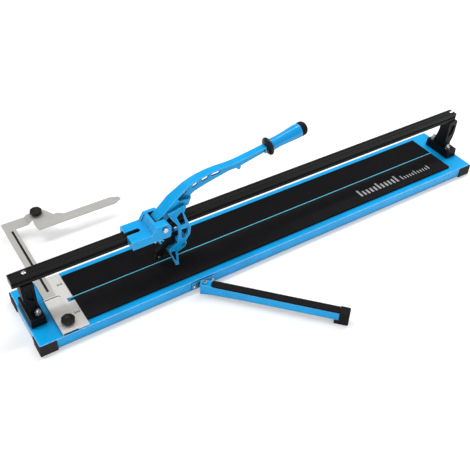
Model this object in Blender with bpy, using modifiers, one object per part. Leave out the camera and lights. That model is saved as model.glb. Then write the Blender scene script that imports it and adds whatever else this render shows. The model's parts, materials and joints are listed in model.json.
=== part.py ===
"""Manual rail tile cutter: a sliding breaker lever, a swivelling side fence and a swing-out support arm.

Every size is in metres. The design frame has its origin on the floor under the middle of the base: +X
runs along the rail towards the grip, +Y away from the operator, +Z up. The last lines shift the whole
assembly, so that the finished part's origin is under the middle of its bounding box.
"""

import math

import bmesh
import bpy
import numpy as np
from mathutils import Matrix, Vector

MM = 0.001
GAP = 0.3 * MM  # between pieces that touch

# Base tray, its corner feet and the bed
BASE_LENGTH = 1400 * MM
BASE_WIDTH = 202 * MM
BASE_TOP = 34.5 * MM
BASE_SHEET = 1.6 * MM
FLANGE_BOTTOM = 4 * MM
FOOT_SIDE = 44 * MM
FOOT_WALL = 2.4 * MM
PAD_LEFT = -571.5 * MM
PAD_RIGHT = 629 * MM
PAD_TOP = 41 * MM
PAD_HALF_WIDTH = 82 * MM
RIDGE_WIDTH = 2 * MM
RIDGE_TOP = 42.4 * MM

# Rail and its two brackets
RAIL_LEFT = -712 * MM
RAIL_RIGHT = 685 * MM
RAIL_WIDTH = 29 * MM
RAIL_HEIGHT = 23.5 * MM
RAIL_TOP = 176.5 * MM
RAIL_WALL = 2.5 * MM
GROOVE_DEPTH = 2 * MM
GROOVE_HEIGHT = 7.6 * MM
GROOVE_MIDDLE = 165.75 * MM  # the rollers run here, in the rail's front side
BRACKET_X = 676 * MM
BRACKET_LENGTH = 38 * MM
BRACKET_FRONT = -41.5 * MM
BRACKET_REAR = 50 * MM
BRACKET_DRAFT = 1.2 * MM
BRACKET_BOLT_X = 670 * MM
BRACKET_BOLT_YS = (-25 * MM, 36 * MM)
BRACKET_BLOCK_TOP = 60 * MM
BRACKET_HALF_SPREAD = 18 * MM

# Carriage and its front guide rollers
CARRIAGE_LEFT = -424 * MM
CARRIAGE_FRONT = -45 * MM
CARRIAGE_REAR = 26 * MM
CARRIAGE_BOTTOM = 160 * MM
CARRIAGE_TOP = 184 * MM
LUG_TOP = 203 * MM
LUG_INNER = 17.6 * MM
FRONT_LUG_INNER = 24.5 * MM
LUG_FRONT = -45.4 * MM
LUG_REAR = 28 * MM
ROLLER_RADIUS = 11 * MM
ROLLER_WIDTH = 7 * MM
ROLLER_XS = (-402 * MM, -374 * MM)

# Lever, its pivot, the breaker foot and the scoring wheel
PIVOT = Vector((-337, 0, 189)) * MM
HEEL_RADIUS = 11 * MM
PIVOT_BOLT_RADIUS = 4 * MM
FOOT_PIN = Vector((-273, 0, 87.5)) * MM
FOOT_PIN_RADIUS = 3 * MM
FOOT_TIP_Y = 48 * MM
FOOT_TIP_LOW = 59.5 * MM
FOOT_SLOPE = 0.33
WHEEL_CENTRE = Vector((-338, 0, 64)) * MM
WHEEL_RADIUS = 11 * MM
COLLAR_CENTRE = Vector((-12, 0, 291.5)) * MM
GRIP_SLOPE = math.radians(10.5)

# Side fence: cover plate, L-shaped arm and swivelling blade
PLATE_LEFT = -640.5 * MM
PLATE_RIGHT = -573.3 * MM
PLATE_STEP_X = -600 * MM
PLATE_HALF_LENGTH = 98 * MM
PLATE_SHEET = 2 * MM
ARM_THICKNESS = 3 * MM
ARM_LEFT = -638 * MM
ARM_RIGHT = -607.5 * MM
ARM_FRONT = -86 * MM
ARM_REAR = 352 * MM
ARM_CROSS_FRONT = 317 * MM
ARM_JOGGLE = 7.4 * MM  # lifts the blade over the pads and the ridge
GROOVE_X = -619.5 * MM
GROOVE_WIDTH = 6 * MM
FENCE_PIVOT = Vector((-541, 335, 0)) * MM
PLATE_KNOB = Vector((-615, -70, 0)) * MM
KNOB_RADIUS = 17 * MM

# Swing-out support arm
SUPPORT_PIVOT = Vector((-270, -121, 0)) * MM
SUPPORT_ANGLE = math.radians(-46.8)
SUPPORT_LENGTH = 366 * MM
SUPPORT_WIDTH = 22 * MM
SUPPORT_TOP = 36 * MM
SUPPORT_WALL_BOTTOM = 12.6 * MM  # at the arm's outer end
SUPPORT_CAP_COVER = 19 * MM  # how much of the arm the end cap covers

COLORS = {
    "blue_paint": ((0.002, 0.342, 0.791), 0.32, 0.0),
    "black_rubber": ((0.010, 0.010, 0.012), 0.85, 0.0),
    "black_cast": ((0.016, 0.016, 0.017), 0.55, 0.0),
    "black_anodised": ((0.030, 0.030, 0.030), 0.42, 0.6),
    "black_plastic": ((0.012, 0.012, 0.012), 0.45, 0.0),
    "gloss_blue_plastic": ((0.002, 0.330, 0.850), 0.15, 0.0),
    "steel_plate": ((0.500, 0.480, 0.460), 0.38, 0.9),
    "zinc": ((0.720, 0.730, 0.740), 0.25, 1.0),
    "ridge_blue": ((0.090, 0.450, 0.590), 0.40, 0.0),
    "white_nylon": ((0.750, 0.750, 0.700), 0.50, 0.0),
    "carbide": ((0.300, 0.310, 0.330), 0.25, 1.0),
}


def clear_scene():
    for old in list(bpy.data.objects):
        bpy.data.objects.remove(old, do_unlink=True)


def new_collection(name, hidden):
    made = bpy.data.collections.new(name)
    bpy.context.scene.collection.children.link(made)
    made.hide_render = hidden
    return made


def make_materials():
    made = {}
    for name, (color, roughness, metallic) in COLORS.items():
        material = bpy.data.materials.new(name)
        material.use_nodes = True
        shader = material.node_tree.nodes["Principled BSDF"]
        shader.inputs["Base Color"].default_value = (*color, 1)
        shader.inputs["Roughness"].default_value = roughness
        shader.inputs["Metallic"].default_value = metallic
        made[name] = material
    return made


clear_scene()
PARTS = new_collection("tile_cutter", hidden=False)
CUTTERS = new_collection("cutters", hidden=True)
MATERIALS = make_materials()
ORIGIN = bpy.data.objects.new("part_origin", None)
PARTS.objects.link(ORIGIN)


# Shapes: each function returns a mesh, placed in the design frame


def mesh_from(bm, name="shape"):
    bmesh.ops.recalc_face_normals(bm, faces=bm.faces)
    mesh = bpy.data.meshes.new(name)
    bm.to_mesh(mesh)
    bm.free()
    return mesh


def mm(*corners):
    """An outline's corners, given in millimetres."""
    return [(first * MM, second * MM) for first, second in corners]


def box(low, high):
    """A box between two corners, which are (x, y, z) triples."""
    low, high = Vector(low), Vector(high)
    bm = bmesh.new()
    bmesh.ops.create_cube(bm, size=1)
    bmesh.ops.scale(bm, vec=high - low, verts=bm.verts)
    bmesh.ops.translate(bm, vec=(low + high) / 2, verts=bm.verts)
    return mesh_from(bm)


def drafted(low, high, inset):
    """A box whose top is smaller than its base by this inset on each side."""
    low, high = Vector(low), Vector(high)
    middle = (low + high) / 2
    mesh = box(low, high)
    for vertex in mesh.vertices:
        if vertex.co.z > middle.z:
            vertex.co.x -= math.copysign(inset, vertex.co.x - middle.x)
            vertex.co.y -= math.copysign(inset, vertex.co.y - middle.y)
    return mesh


def turned(radius, start, end, sides=24, end_radius=None):
    """A cylinder, or a cone when end_radius is given, from one point to another."""
    start, end = Vector(start), Vector(end)
    along = end - start
    bm = bmesh.new()
    bmesh.ops.create_cone(
        bm,
        cap_ends=True,
        segments=sides,
        radius1=radius,
        radius2=radius if end_radius is None else end_radius,
        depth=along.length,
    )
    turn = along.to_track_quat("Z", "Y").to_matrix().to_4x4()
    bmesh.ops.transform(bm, matrix=Matrix.Translation((start + end) / 2) @ turn, verts=bm.verts)
    return mesh_from(bm)


def rounded(corners, radii, steps=4):
    """An outline whose corners are arcs of the given radii, which may be one number for all."""
    if not isinstance(radii, (list, tuple)):
        radii = [radii] * len(corners)
    points = []
    for i, corner in enumerate(corners):
        here = Vector(corner)
        before = (Vector(corners[i - 1]) - here).normalized()
        after = (Vector(corners[(i + 1) % len(corners)]) - here).normalized()
        half_angle = before.angle(after) / 2
        if radii[i] <= 0 or half_angle > math.radians(88):
            points.append(here)
            continue
        reach = radii[i] / math.tan(half_angle)
        centre = here + (before + after).normalized() * radii[i] / math.sin(half_angle)
        first = here + before * reach - centre
        sweep = first.angle_signed(here + after * reach - centre)
        for step in range(steps + 1):
            turn = Matrix.Rotation(-sweep * step / steps, 2)
            points.append(centre + turn @ first)
    return points


def slab(outline, low, high, plane="XY"):
    """A flat outline, filled and given thickness between two heights on the normal of its plane."""
    curve = bpy.data.curves.new("outline", "CURVE")
    curve.dimensions = "2D"
    curve.fill_mode = "BOTH"
    curve.extrude = abs(high - low) / 2
    spline = curve.splines.new("POLY")
    spline.points.add(len(outline) - 1)
    for point, place in zip(spline.points, outline):
        point.co = (place[0], place[1], 0, 1)
    spline.use_cyclic_u = True
    guide = bpy.data.objects.new("outline", curve)
    CUTTERS.objects.link(guide)
    bpy.context.view_layer.update()
    evaluated = guide.evaluated_get(bpy.context.evaluated_depsgraph_get())
    mesh = bpy.data.meshes.new_from_object(evaluated)
    bpy.data.objects.remove(guide, do_unlink=True)
    bm = bmesh.new()
    bm.from_mesh(mesh)
    bmesh.ops.remove_doubles(bm, verts=bm.verts, dist=0.00001)
    middle = Matrix.Translation((0, 0, (low + high) / 2))
    to_plane = {
        "XY": Matrix.Identity(4),
        "XZ": Matrix(((1, 0, 0, 0), (0, 0, 1, 0), (0, 1, 0, 0), (0, 0, 0, 1))),
        "YZ": Matrix(((0, 0, 1, 0), (1, 0, 0, 0), (0, 1, 0, 0), (0, 0, 0, 1))),
    }[plane]
    bmesh.ops.transform(bm, matrix=to_plane @ middle, verts=bm.verts)
    return mesh_from(bm)


def lathe(profile, centre, axis=(0, 0, 1), steps=32):
    """A turned solid from (radius, height) pairs that run from the top to the bottom of its axis."""
    bm = bmesh.new()
    edge = [bm.verts.new((radius, 0, height)) for radius, height in profile]
    for first, second in zip(edge, edge[1:]):
        bm.edges.new((first, second))
    mesh = bpy.data.meshes.new("profile")
    bm.to_mesh(mesh)
    bm.free()
    guide = bpy.data.objects.new("profile", mesh)
    CUTTERS.objects.link(guide)
    screw = guide.modifiers.new("turn", "SCREW")
    screw.steps = steps
    screw.render_steps = steps
    screw.use_merge_vertices = True
    screw.merge_threshold = 0.00001
    bpy.context.view_layer.update()
    evaluated = guide.evaluated_get(bpy.context.evaluated_depsgraph_get())
    solid = bpy.data.meshes.new_from_object(evaluated)
    bpy.data.objects.remove(guide, do_unlink=True)
    turn = Vector(axis).to_track_quat("Z", "Y").to_matrix().to_4x4()
    solid.transform(Matrix.Translation(Vector(centre)) @ turn)
    return solid


def joined(*meshes):
    """One mesh that holds several shapes, for use as a single cutter."""
    bm = bmesh.new()
    for mesh in meshes:
        bm.from_mesh(mesh)
    together = bpy.data.meshes.new("shapes")
    bm.to_mesh(together)
    bm.free()
    return together


def piece(name, mesh, material, at=(0, 0, 0), bevel=0.0, segments=2, cut=(), add=(), spin=0.0):
    """A named sub-part whose origin is at a point of the design frame.

    add and cut are meshes that Booleans join to it and take from it, before its edges are bevelled. spin
    turns the finished piece about the vertical through its origin.
    """
    at = Vector(at)
    made = bpy.data.objects.new(name, mesh)
    made.data.name = name
    PARTS.objects.link(made)
    mesh.transform(Matrix.Translation(-at))
    made.location = at
    made.rotation_euler = (0, 0, spin)
    made.parent = ORIGIN
    mesh.materials.clear()
    mesh.materials.append(MATERIALS[material])
    for operation, tools in (("UNION", add), ("DIFFERENCE", cut)):
        for number, tool in enumerate(tools):
            helper = bpy.data.objects.new(f"{name}_{operation.lower()}_{number}", tool)
            CUTTERS.objects.link(helper)
            tool.transform(Matrix.Translation(-at))
            helper.parent = made
            helper.hide_render = True
            helper.display_type = "WIRE"
            boolean = made.modifiers.new(operation.lower(), "BOOLEAN")
            boolean.operation = operation
            boolean.solver = "EXACT"
            boolean.object = helper
    if bevel:
        edges = made.modifiers.new("edges", "BEVEL")
        edges.width = bevel
        edges.segments = segments
        edges.limit_method = "ANGLE"
        edges.angle_limit = math.radians(40)
        edges.use_clamp_overlap = True
    mesh.shade_smooth()
    mesh.set_sharp_from_angle(angle=math.radians(35))
    return made


def hexagon(width, low, high, centre):
    """A hexagonal prism of this width across its flats, standing on Z."""
    x, y = centre[0], centre[1]
    return turned(width / 2 / math.cos(math.pi / 6), (x, y, low), (x, y, high), sides=6)


# Base


def make_base():
    half_length, half_width = BASE_LENGTH / 2, BASE_WIDTH / 2
    outer = rounded(
        [(-half_length, -half_width), (half_length, -half_width)]
        + [(half_length, half_width), (-half_length, half_width)],
        3 * MM,
        steps=2,
    )
    inner_length, inner_width = half_length - BASE_SHEET, half_width - BASE_SHEET
    roof = BASE_TOP - BASE_SHEET
    hollow = box((-inner_length, -inner_width, -10 * MM), (inner_length, inner_width, roof))
    holes = [turned(4.4 * MM, (x, y, 20 * MM), (x, y, 50 * MM), 16) for x, y in bracket_bolt_places()]
    for x, y, z in support_screw_places():
        holes.append(turned(2.9 * MM, (x, y - 5 * MM, z), (x, y + 5 * MM, z), sides=12))
    piece(
        "base_tray",
        slab(outer, FLANGE_BOTTOM, BASE_TOP),
        "blue_paint",
        cut=[hollow, joined(*holes)],
    )


def make_feet():
    """Rubber corners that cup the tray's flanges from below, with the tray's corner let into them."""
    half_length, half_width = BASE_LENGTH / 2, BASE_WIDTH / 2
    for side_x, x_name in ((-1, "left"), (1, "right")):
        for side_y, y_name in ((-1, "front"), (1, "rear")):
            corner = Vector((side_x * (half_length + FOOT_WALL), side_y * (half_width + FOOT_WALL)))
            far = corner - Vector((side_x * FOOT_SIDE, side_y * FOOT_SIDE))
            low = (min(corner.x, far.x), min(corner.y, far.y), 0)
            high = (max(corner.x, far.x), max(corner.y, far.y), BASE_TOP - 2.6 * MM)
            tray_side = Vector((side_x * (half_length + GAP), side_y * (half_width + GAP)))
            tray_far = corner - Vector((side_x, side_y)) * 3 * FOOT_SIDE
            wall = 2 * GAP + BASE_SHEET
            slot_x = sorted((tray_side.x, tray_side.x - side_x * wall))
            slot_y = sorted((tray_side.y, tray_side.y - side_y * wall))
            all_x = sorted((tray_side.x, tray_far.x))
            all_y = sorted((tray_side.y, tray_far.y))
            end_slot = box((slot_x[0], all_y[0], FLANGE_BOTTOM - GAP), (slot_x[1], all_y[1], 1))
            side_slot = box((all_x[0], slot_y[0], FLANGE_BOTTOM - GAP), (all_x[1], slot_y[1], 1))
            inside = 6 * MM
            pocket_x = sorted((tray_side.x - side_x * inside, tray_far.x))
            pocket_y = sorted((tray_side.y - side_y * inside, tray_far.y))
            pocket = box((pocket_x[0], pocket_y[0], 3 * MM), (pocket_x[1], pocket_y[1], 1))
            piece(
                f"{y_name}_{x_name}_foot",
                box(low, high),
                "black_rubber",
                cut=[end_slot, side_slot, pocket],
            )


def make_bed():
    for name, side in (("front_pad", -1), ("rear_pad", 1)):
        inner = RIDGE_WIDTH / 2 + GAP
        low_y, high_y = sorted((side * inner, side * PAD_HALF_WIDTH))
        pad = box((PAD_LEFT, low_y, BASE_TOP + GAP), (PAD_RIGHT, high_y, PAD_TOP))
        piece(name, pad, "black_rubber", bevel=0.8 * MM)
    half = RIDGE_WIDTH / 2
    crown = rounded(
        [(-half, BASE_TOP + GAP), (half, BASE_TOP + GAP), (half, RIDGE_TOP), (-half, RIDGE_TOP)],
        [0, 0, 1 * MM, 1 * MM],
        steps=3,
    )
    piece("breaking_ridge", slab(crown, PLATE_RIGHT - 9 * MM, PAD_RIGHT, "YZ"), "ridge_blue")


# Rail and brackets


def bracket_bolt_places():
    return [(side * BRACKET_BOLT_X, y) for side in (-1, 1) for y in BRACKET_BOLT_YS]


def make_rail():
    half, low, high = RAIL_WIDTH / 2, RAIL_TOP - RAIL_HEIGHT, RAIL_TOP
    middle = (low + high) / 2
    groove_low, groove_high = GROOVE_MIDDLE - GROOVE_HEIGHT / 2, GROOVE_MIDDLE + GROOVE_HEIGHT / 2
    floor = half - GROOVE_DEPTH
    right = [(half, low), (half, groove_low), (floor, groove_low + GROOVE_DEPTH / 2)]
    right += [(floor, groove_high - GROOVE_DEPTH / 2), (half, groove_high), (half, high)]
    outline = right + [(-y, z) for y, z in reversed(right)]
    corner = 1.6 * MM
    radii = [corner, 0, 0, 0, 0, corner, corner, 0, 0, 0, 0, corner]
    bore_y, bore_z = floor - RAIL_WALL, RAIL_HEIGHT / 2 - RAIL_WALL
    bore = box((-1, -bore_y, middle - bore_z), (1, bore_y, middle + bore_z))
    screw_xs = {"left_rail_screw": -BRACKET_X, "right_rail_screw": BRACKET_X}
    screw_holes = [turned(3.2 * MM, (x, 0, middle), (x, 0, high + 5 * MM), 16) for x in screw_xs.values()]
    piece(
        "rail",
        slab(rounded(outline, radii, steps=2), RAIL_LEFT + 2.3 * MM, RAIL_RIGHT - 2.3 * MM, "YZ"),
        "black_anodised",
        cut=[bore, joined(*screw_holes)],
    )
    plug_y, plug_z = bore_y - GAP, bore_z - GAP
    face = rounded([(-half, low), (half, low), (half, high), (-half, high)], corner, steps=2)
    for name, end, outward in (("left_rail_cap", RAIL_LEFT, -1), ("right_rail_cap", RAIL_RIGHT, 1)):
        xs = sorted((end, end - outward * 2 * MM))
        ins = sorted((end - outward * 1 * MM, end - outward * 5 * MM))
        plug = box((ins[0], -plug_y, middle - plug_z), (ins[1], plug_y, middle + plug_z))
        piece(name, slab(face, xs[0], xs[1], "YZ"), "black_plastic", add=[plug])
    for name, x in screw_xs.items():
        head = lathe(mm((0, 2.4), (4.2, 1.8), (6, 0.4), (6, 0), (0, 0)), (x, 0, RAIL_TOP + GAP), steps=20)
        shank = turned(2.5 * MM, (x, 0, middle + 2 * MM), (x, 0, RAIL_TOP + 1 * MM), sides=12)
        piece(name, head, "zinc", at=(x, 0, RAIL_TOP), add=[shank])


def make_bracket(name, x):
    """A cast stand: a tapered block for its bolts, and a flared pillar that leans outwards to an ear.

    The pillar's side outlines are given with X pointing outwards, away from the middle of the base.
    """
    outward = math.copysign(1, x)
    half_length = BRACKET_LENGTH / 2
    bottom, under_rail = BASE_TOP + GAP, RAIL_TOP - RAIL_HEIGHT - GAP
    root = 44 * MM
    block = drafted(
        (x - half_length, BRACKET_FRONT, bottom),
        (x + half_length, BRACKET_REAR, BRACKET_BLOCK_TOP),
        BRACKET_DRAFT,
    )
    spread = BRACKET_HALF_SPREAD
    front_edge = [(-spread, under_rail), *mm((-18, 142), (-14.5, 134), (-21, 44))]
    rear_edge = [*mm((34, 44), (25.5, 80), (18.5, 110), (15, 134), (18, 142)), (spread, under_rail)]
    radii = [2 * MM, 2 * MM, 5 * MM, 0, 0, 20 * MM, 20 * MM, 5 * MM, 2 * MM, 2 * MM]
    low_x, high_x = sorted((x - outward * 11 * MM, x + outward * 9 * MM))
    pillar = slab(rounded(front_edge + rear_edge, radii, 2), low_x, high_x, "YZ")

    def leaning(*corners):
        return [(x + outward * along, z) for along, z in mm(*corners)]

    foot_of_ear = leaning((-12, root / MM), (8, root / MM), (9, 72), (16, 88), (19, 106))
    top_of_ear = leaning((19, under_rail / MM - 0.6), (-13, under_rail / MM - 0.6))
    ear = rounded(foot_of_ear + top_of_ear, [0, 0, 9 * MM, 10 * MM, 16 * MM, 6 * MM, 2 * MM], steps=3)
    profile = slab(ear, -spread + GAP, spread - GAP, "XZ")
    hollows = []
    for side in (-1, 1):
        ys = sorted((side * 13.5 * MM, side * 60 * MM))
        pocket = rounded(leaning((-7, 94), (10, 110), (10, 137), (-7, 137)), 2 * MM, 2)
        hollows.append(slab(pocket, ys[0], ys[1], "XZ"))
    holes = []
    for bolt_x, y in bracket_bolt_places():
        if bolt_x * outward > 0:
            holes.append(turned(4.4 * MM, (bolt_x, y, 20 * MM), (bolt_x, y, 80 * MM), sides=16))
            seat, clear = (bolt_x, y, BRACKET_BLOCK_TOP), (bolt_x, y, 104 * MM)
            hollows.append(turned(9 * MM, seat, clear, end_radius=6 * MM))
    piece(
        name,
        block,
        "black_cast",
        at=(x, 0, BASE_TOP),
        add=[pillar, profile],
        cut=[*hollows, joined(*holes)],
    )


def make_bracket_fasteners():
    for number, (x, y) in enumerate(bracket_bolt_places(), start=1):
        washer_low = BRACKET_BLOCK_TOP + GAP
        washer_high = washer_low + 1.6 * MM
        ring = turned(7.5 * MM, (x, y, washer_low), (x, y, washer_high), sides=24)
        bore = turned(4.5 * MM, (x, y, washer_low - 1 * MM), (x, y, washer_high + 1 * MM), sides=16)
        piece(f"bracket_washer_{number}", ring, "zinc", at=(x, y, washer_low), cut=[bore])
        head_low = washer_high + GAP
        head = hexagon(13 * MM, head_low, head_low + 6.5 * MM, (x, y))
        tip = turned(4 * MM, (x, y, head_low + 6 * MM), (x, y, head_low + 14 * MM), sides=16)
        shank = turned(4 * MM, (x, y, BASE_TOP - 12 * MM), (x, y, head_low + 1 * MM), sides=16)
        piece(f"bracket_bolt_{number}", head, "zinc", at=(x, y, washer_low), add=[shank, tip])
        nut_high = BASE_TOP - BASE_SHEET - GAP
        nut = hexagon(13 * MM, nut_high - 6 * MM, nut_high, (x, y))
        thread = turned(4.3 * MM, (x, y, nut_high - 9 * MM), (x, y, nut_high + 3 * MM), sides=16)
        piece(f"bracket_nut_{number}", nut, "zinc", at=(x, y, nut_high), cut=[thread])


# Carriage


def make_carriage():
    """A casting that rides over the rail: a slotted plate, a deep front block, a rear wall and two lugs."""
    inner = RAIL_WIDTH / 2 + 1 * MM
    lug_right = PIVOT.x + 18 * MM
    plate = box((CARRIAGE_LEFT, CARRIAGE_FRONT, 179 * MM), (-352 * MM, CARRIAGE_REAR, CARRIAGE_TOP))
    right, top = -340 * MM, CARRIAGE_TOP - 0.2 * MM
    front = box((CARRIAGE_LEFT, CARRIAGE_FRONT, CARRIAGE_BOTTOM), (right, -inner, top))
    rear = box((CARRIAGE_LEFT, inner + 1 * MM, CARRIAGE_BOTTOM), (right, CARRIAGE_REAR, top))
    lug_outline = rounded(
        [(-366 * MM, CARRIAGE_BOTTOM), (lug_right - 3 * MM, CARRIAGE_BOTTOM), (lug_right, 190 * MM)]
        + [(-326 * MM, LUG_TOP), (-360 * MM, LUG_TOP), (-372 * MM, CARRIAGE_TOP - 1 * MM)],
        [0, 3 * MM, 14 * MM, 9 * MM, 3 * MM, 0],
        steps=3,
    )
    lugs = [
        slab(lug_outline, LUG_FRONT, -FRONT_LUG_INNER, "XZ"),
        slab(lug_outline, LUG_INNER, LUG_REAR, "XZ"),
    ]
    bridge = slab(
        mm((-371, 180), (-352, 180), (-352, 202), (-359, 202)),
        -FRONT_LUG_INNER - 2 * MM,
        LUG_INNER + 2 * MM,
        "XZ",
    )
    slot = rounded(
        mm((-450, -15), (-386, -15), (-386, -1), (-450, -1)),
        [0, 6.9 * MM, 6.9 * MM, 0],
        steps=5,
    )
    bolt_hole = turned(
        PIVOT_BOLT_RADIUS + 0.3 * MM,
        (PIVOT.x, -60 * MM, PIVOT.z),
        (PIVOT.x, 60 * MM, PIVOT.z),
        sides=16,
    )
    pockets = []
    for x in ROLLER_XS:
        y = roller_y()
        half = ROLLER_WIDTH / 2 + 0.8 * MM
        pockets.append(
            box(
                (x - ROLLER_RADIUS - 1.2 * MM, y - ROLLER_RADIUS - 1.2 * MM, GROOVE_MIDDLE - half),
                (x + ROLLER_RADIUS + 1.2 * MM, 0, GROOVE_MIDDLE + half),
            )
        )
        pockets.append(turned(3.3 * MM, (x, y, 150 * MM), (x, y, 176 * MM), sides=12))
    x, y = adjust_screw_place()
    pockets.append(turned(2.8 * MM, (x, y, 150 * MM), (x, y, 172 * MM), sides=12))
    heel_room = box((-352 * MM, -FRONT_LUG_INNER, 176 * MM), (-300 * MM, LUG_INNER, 210 * MM))
    pad_room = box((CARRIAGE_LEFT + 9 * MM, 10 * MM, 157 * MM), (-341 * MM, inner + 3.4 * MM, 177.5 * MM))
    piece(
        "carriage_body",
        plate,
        "blue_paint",
        at=(-372 * MM, 0, RAIL_TOP),
        add=[front, rear, *lugs, bridge],
        cut=[slab(slot, 177 * MM, 190 * MM), bolt_hole, *pockets, heel_room, pad_room],
    )
    pad = box(
        (CARRIAGE_LEFT + 9.4 * MM, RAIL_WIDTH / 2 + GAP, 157.5 * MM),
        (-341.4 * MM, inner + 3 * MM, 177 * MM),
    )
    piece("rear_slide_pad", pad, "white_nylon", at=(-372 * MM, inner, 167 * MM))


def roller_y():
    return -(RAIL_WIDTH / 2 - GROOVE_DEPTH + GAP + ROLLER_RADIUS)


def adjust_screw_place():
    return -362 * MM, -39 * MM


def make_rollers():
    half, bore, chamfer = ROLLER_WIDTH / 2, 3 * MM, 1.5 * MM
    y = roller_y()
    upper = [(bore, half), (ROLLER_RADIUS - chamfer, half), (ROLLER_RADIUS, half - chamfer)]
    lower = [(radius, -height) for radius, height in reversed(upper)]
    profile = upper + lower + upper[:1]
    for number, x in enumerate(ROLLER_XS, start=1):
        middle = (x, y, GROOVE_MIDDLE)
        piece(f"guide_roller_{number}", lathe(profile, middle, steps=24), "zinc", at=middle)
        head = hexagon(9 * MM, CARRIAGE_BOTTOM - GAP - 4 * MM, CARRIAGE_BOTTOM - GAP, (x, y))
        shank = turned(2.7 * MM, (x, y, CARRIAGE_BOTTOM - 2 * MM), (x, y, 175 * MM), sides=12)
        piece(f"roller_axle_{number}", head, "zinc", at=middle, add=[shank])
    x, y = adjust_screw_place()
    head = hexagon(8 * MM, CARRIAGE_BOTTOM - GAP - 5 * MM, CARRIAGE_BOTTOM - GAP, (x, y))
    shank = turned(2.5 * MM, (x, y, CARRIAGE_BOTTOM - 2 * MM), (x, y, 171 * MM), sides=12)
    piece("roller_lock_screw", head, "zinc", at=(x, y, CARRIAGE_BOTTOM), add=[shank])


def make_pivot_bolt():
    x, z = PIVOT.x, PIVOT.z
    face = LUG_FRONT - GAP
    rear_face = LUG_REAR + GAP
    head = turned(7.4 * MM, (x, face - 5.5 * MM, z), (x, face, z), sides=6)
    shank = turned(PIVOT_BOLT_RADIUS, (x, face - 1 * MM, z), (x, rear_face + 8 * MM, z), sides=16)
    piece("lever_pivot_bolt", head, "zinc", at=PIVOT, add=[shank])
    nut = turned(7.4 * MM, (x, rear_face, z), (x, rear_face + 6 * MM, z), sides=6)
    thread_start, thread_end = (x, rear_face - 2 * MM, z), (x, rear_face + 12 * MM, z)
    thread = turned(PIVOT_BOLT_RADIUS + GAP, thread_start, thread_end, sides=16)
    piece("lever_pivot_nut", nut, "zinc", at=PIVOT, cut=[thread])


# Lever


LEVER_TOP = mm((-346, 194), (-330, 205), (-298, 235), (-258, 262.5), (-238, 270.5), (-217, 276.5))
LEVER_TOP += mm((-195, 280), (-172, 281.8), (-130, 281.6), (-99, 284.6), (-22, 297))
LEVER_BELOW = mm((-22, 279), (-94, 263), (-95.5, 253), (-100, 252), (-109, 260.5), (-130, 260))
LEVER_BELOW += mm((-194, 246), (-231, 235), (-262, 215), (-290, 203), (-318, 190))

# The recesses on both sides leave a flange along the beam's top and a web below it, which has windows
RECESS_TOP = mm((-284, 240), (-258, 258), (-238, 266.2), (-217, 272.3), (-195, 276), (-172, 277.8))
RECESS_TOP += mm((-130, 277.4), (-99, 280.4), (-25, 292.4))
RECESS_BELOW = mm((-25, 261), (-97, 240), (-130, 238), (-194, 226), (-232, 222), (-250, 226), (-280, 232))
LEVER_WEB = 5 * MM
LEVER_WINDOWS = [(-271, -254, 229, 10), (-240, -222, 245.5, 6), (-213, -192, 255, 4)]
LEVER_WINDOWS += [(-184, -158, 261.5, 1.5)]
HALF_WIDTH_XS = [-290, -258, -217, -130, -22]
HALF_WIDTHS = [16.5, 12.5, 11.5, 10, 9.3]


def lever_half_width(x):
    """The lever narrows from its forked heel towards the grip."""
    return float(np.interp(x / MM, HALF_WIDTH_XS, HALF_WIDTHS)) * MM


def heel_arc():
    """The heel is round about the pivot, so that it clears the rail at every angle."""
    angles = [math.radians(a) for a in range(-60, -230, -24)]
    return [(PIVOT.x + HEEL_RADIUS * math.cos(a), PIVOT.z + HEEL_RADIUS * math.sin(a)) for a in angles]


def cheek(low, high):
    """The web beside the rail that carries the breaker foot: a curved inner rib and an outer rib."""
    inner = mm((-316, 210), (-308, 192), (-291, 166), (-286, 147), (-287, 127), (-292, 112), (-289, 104))
    outer = mm((-268, 104), (-255.5, 122), (-253, 144), (-260, 163), (-272, 197), (-262, 222))
    radii = [0, 8 * MM, 20 * MM, 20 * MM, 20 * MM] + [4 * MM] * 8
    return slab(rounded(inner + outer, radii, 2), low, high, "XZ")


def cheek_windows(low, high):
    upper = mm((-293, 191), (-277, 206), (-267.5, 162), (-281, 160))
    lower = mm((-280, 154), (-266, 157), (-260, 142), (-262, 125), (-273, 114), (-281, 117))
    return [slab(rounded(corners, 3.5 * MM, 2), low, high, "XZ") for corners in (upper, lower)]


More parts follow.
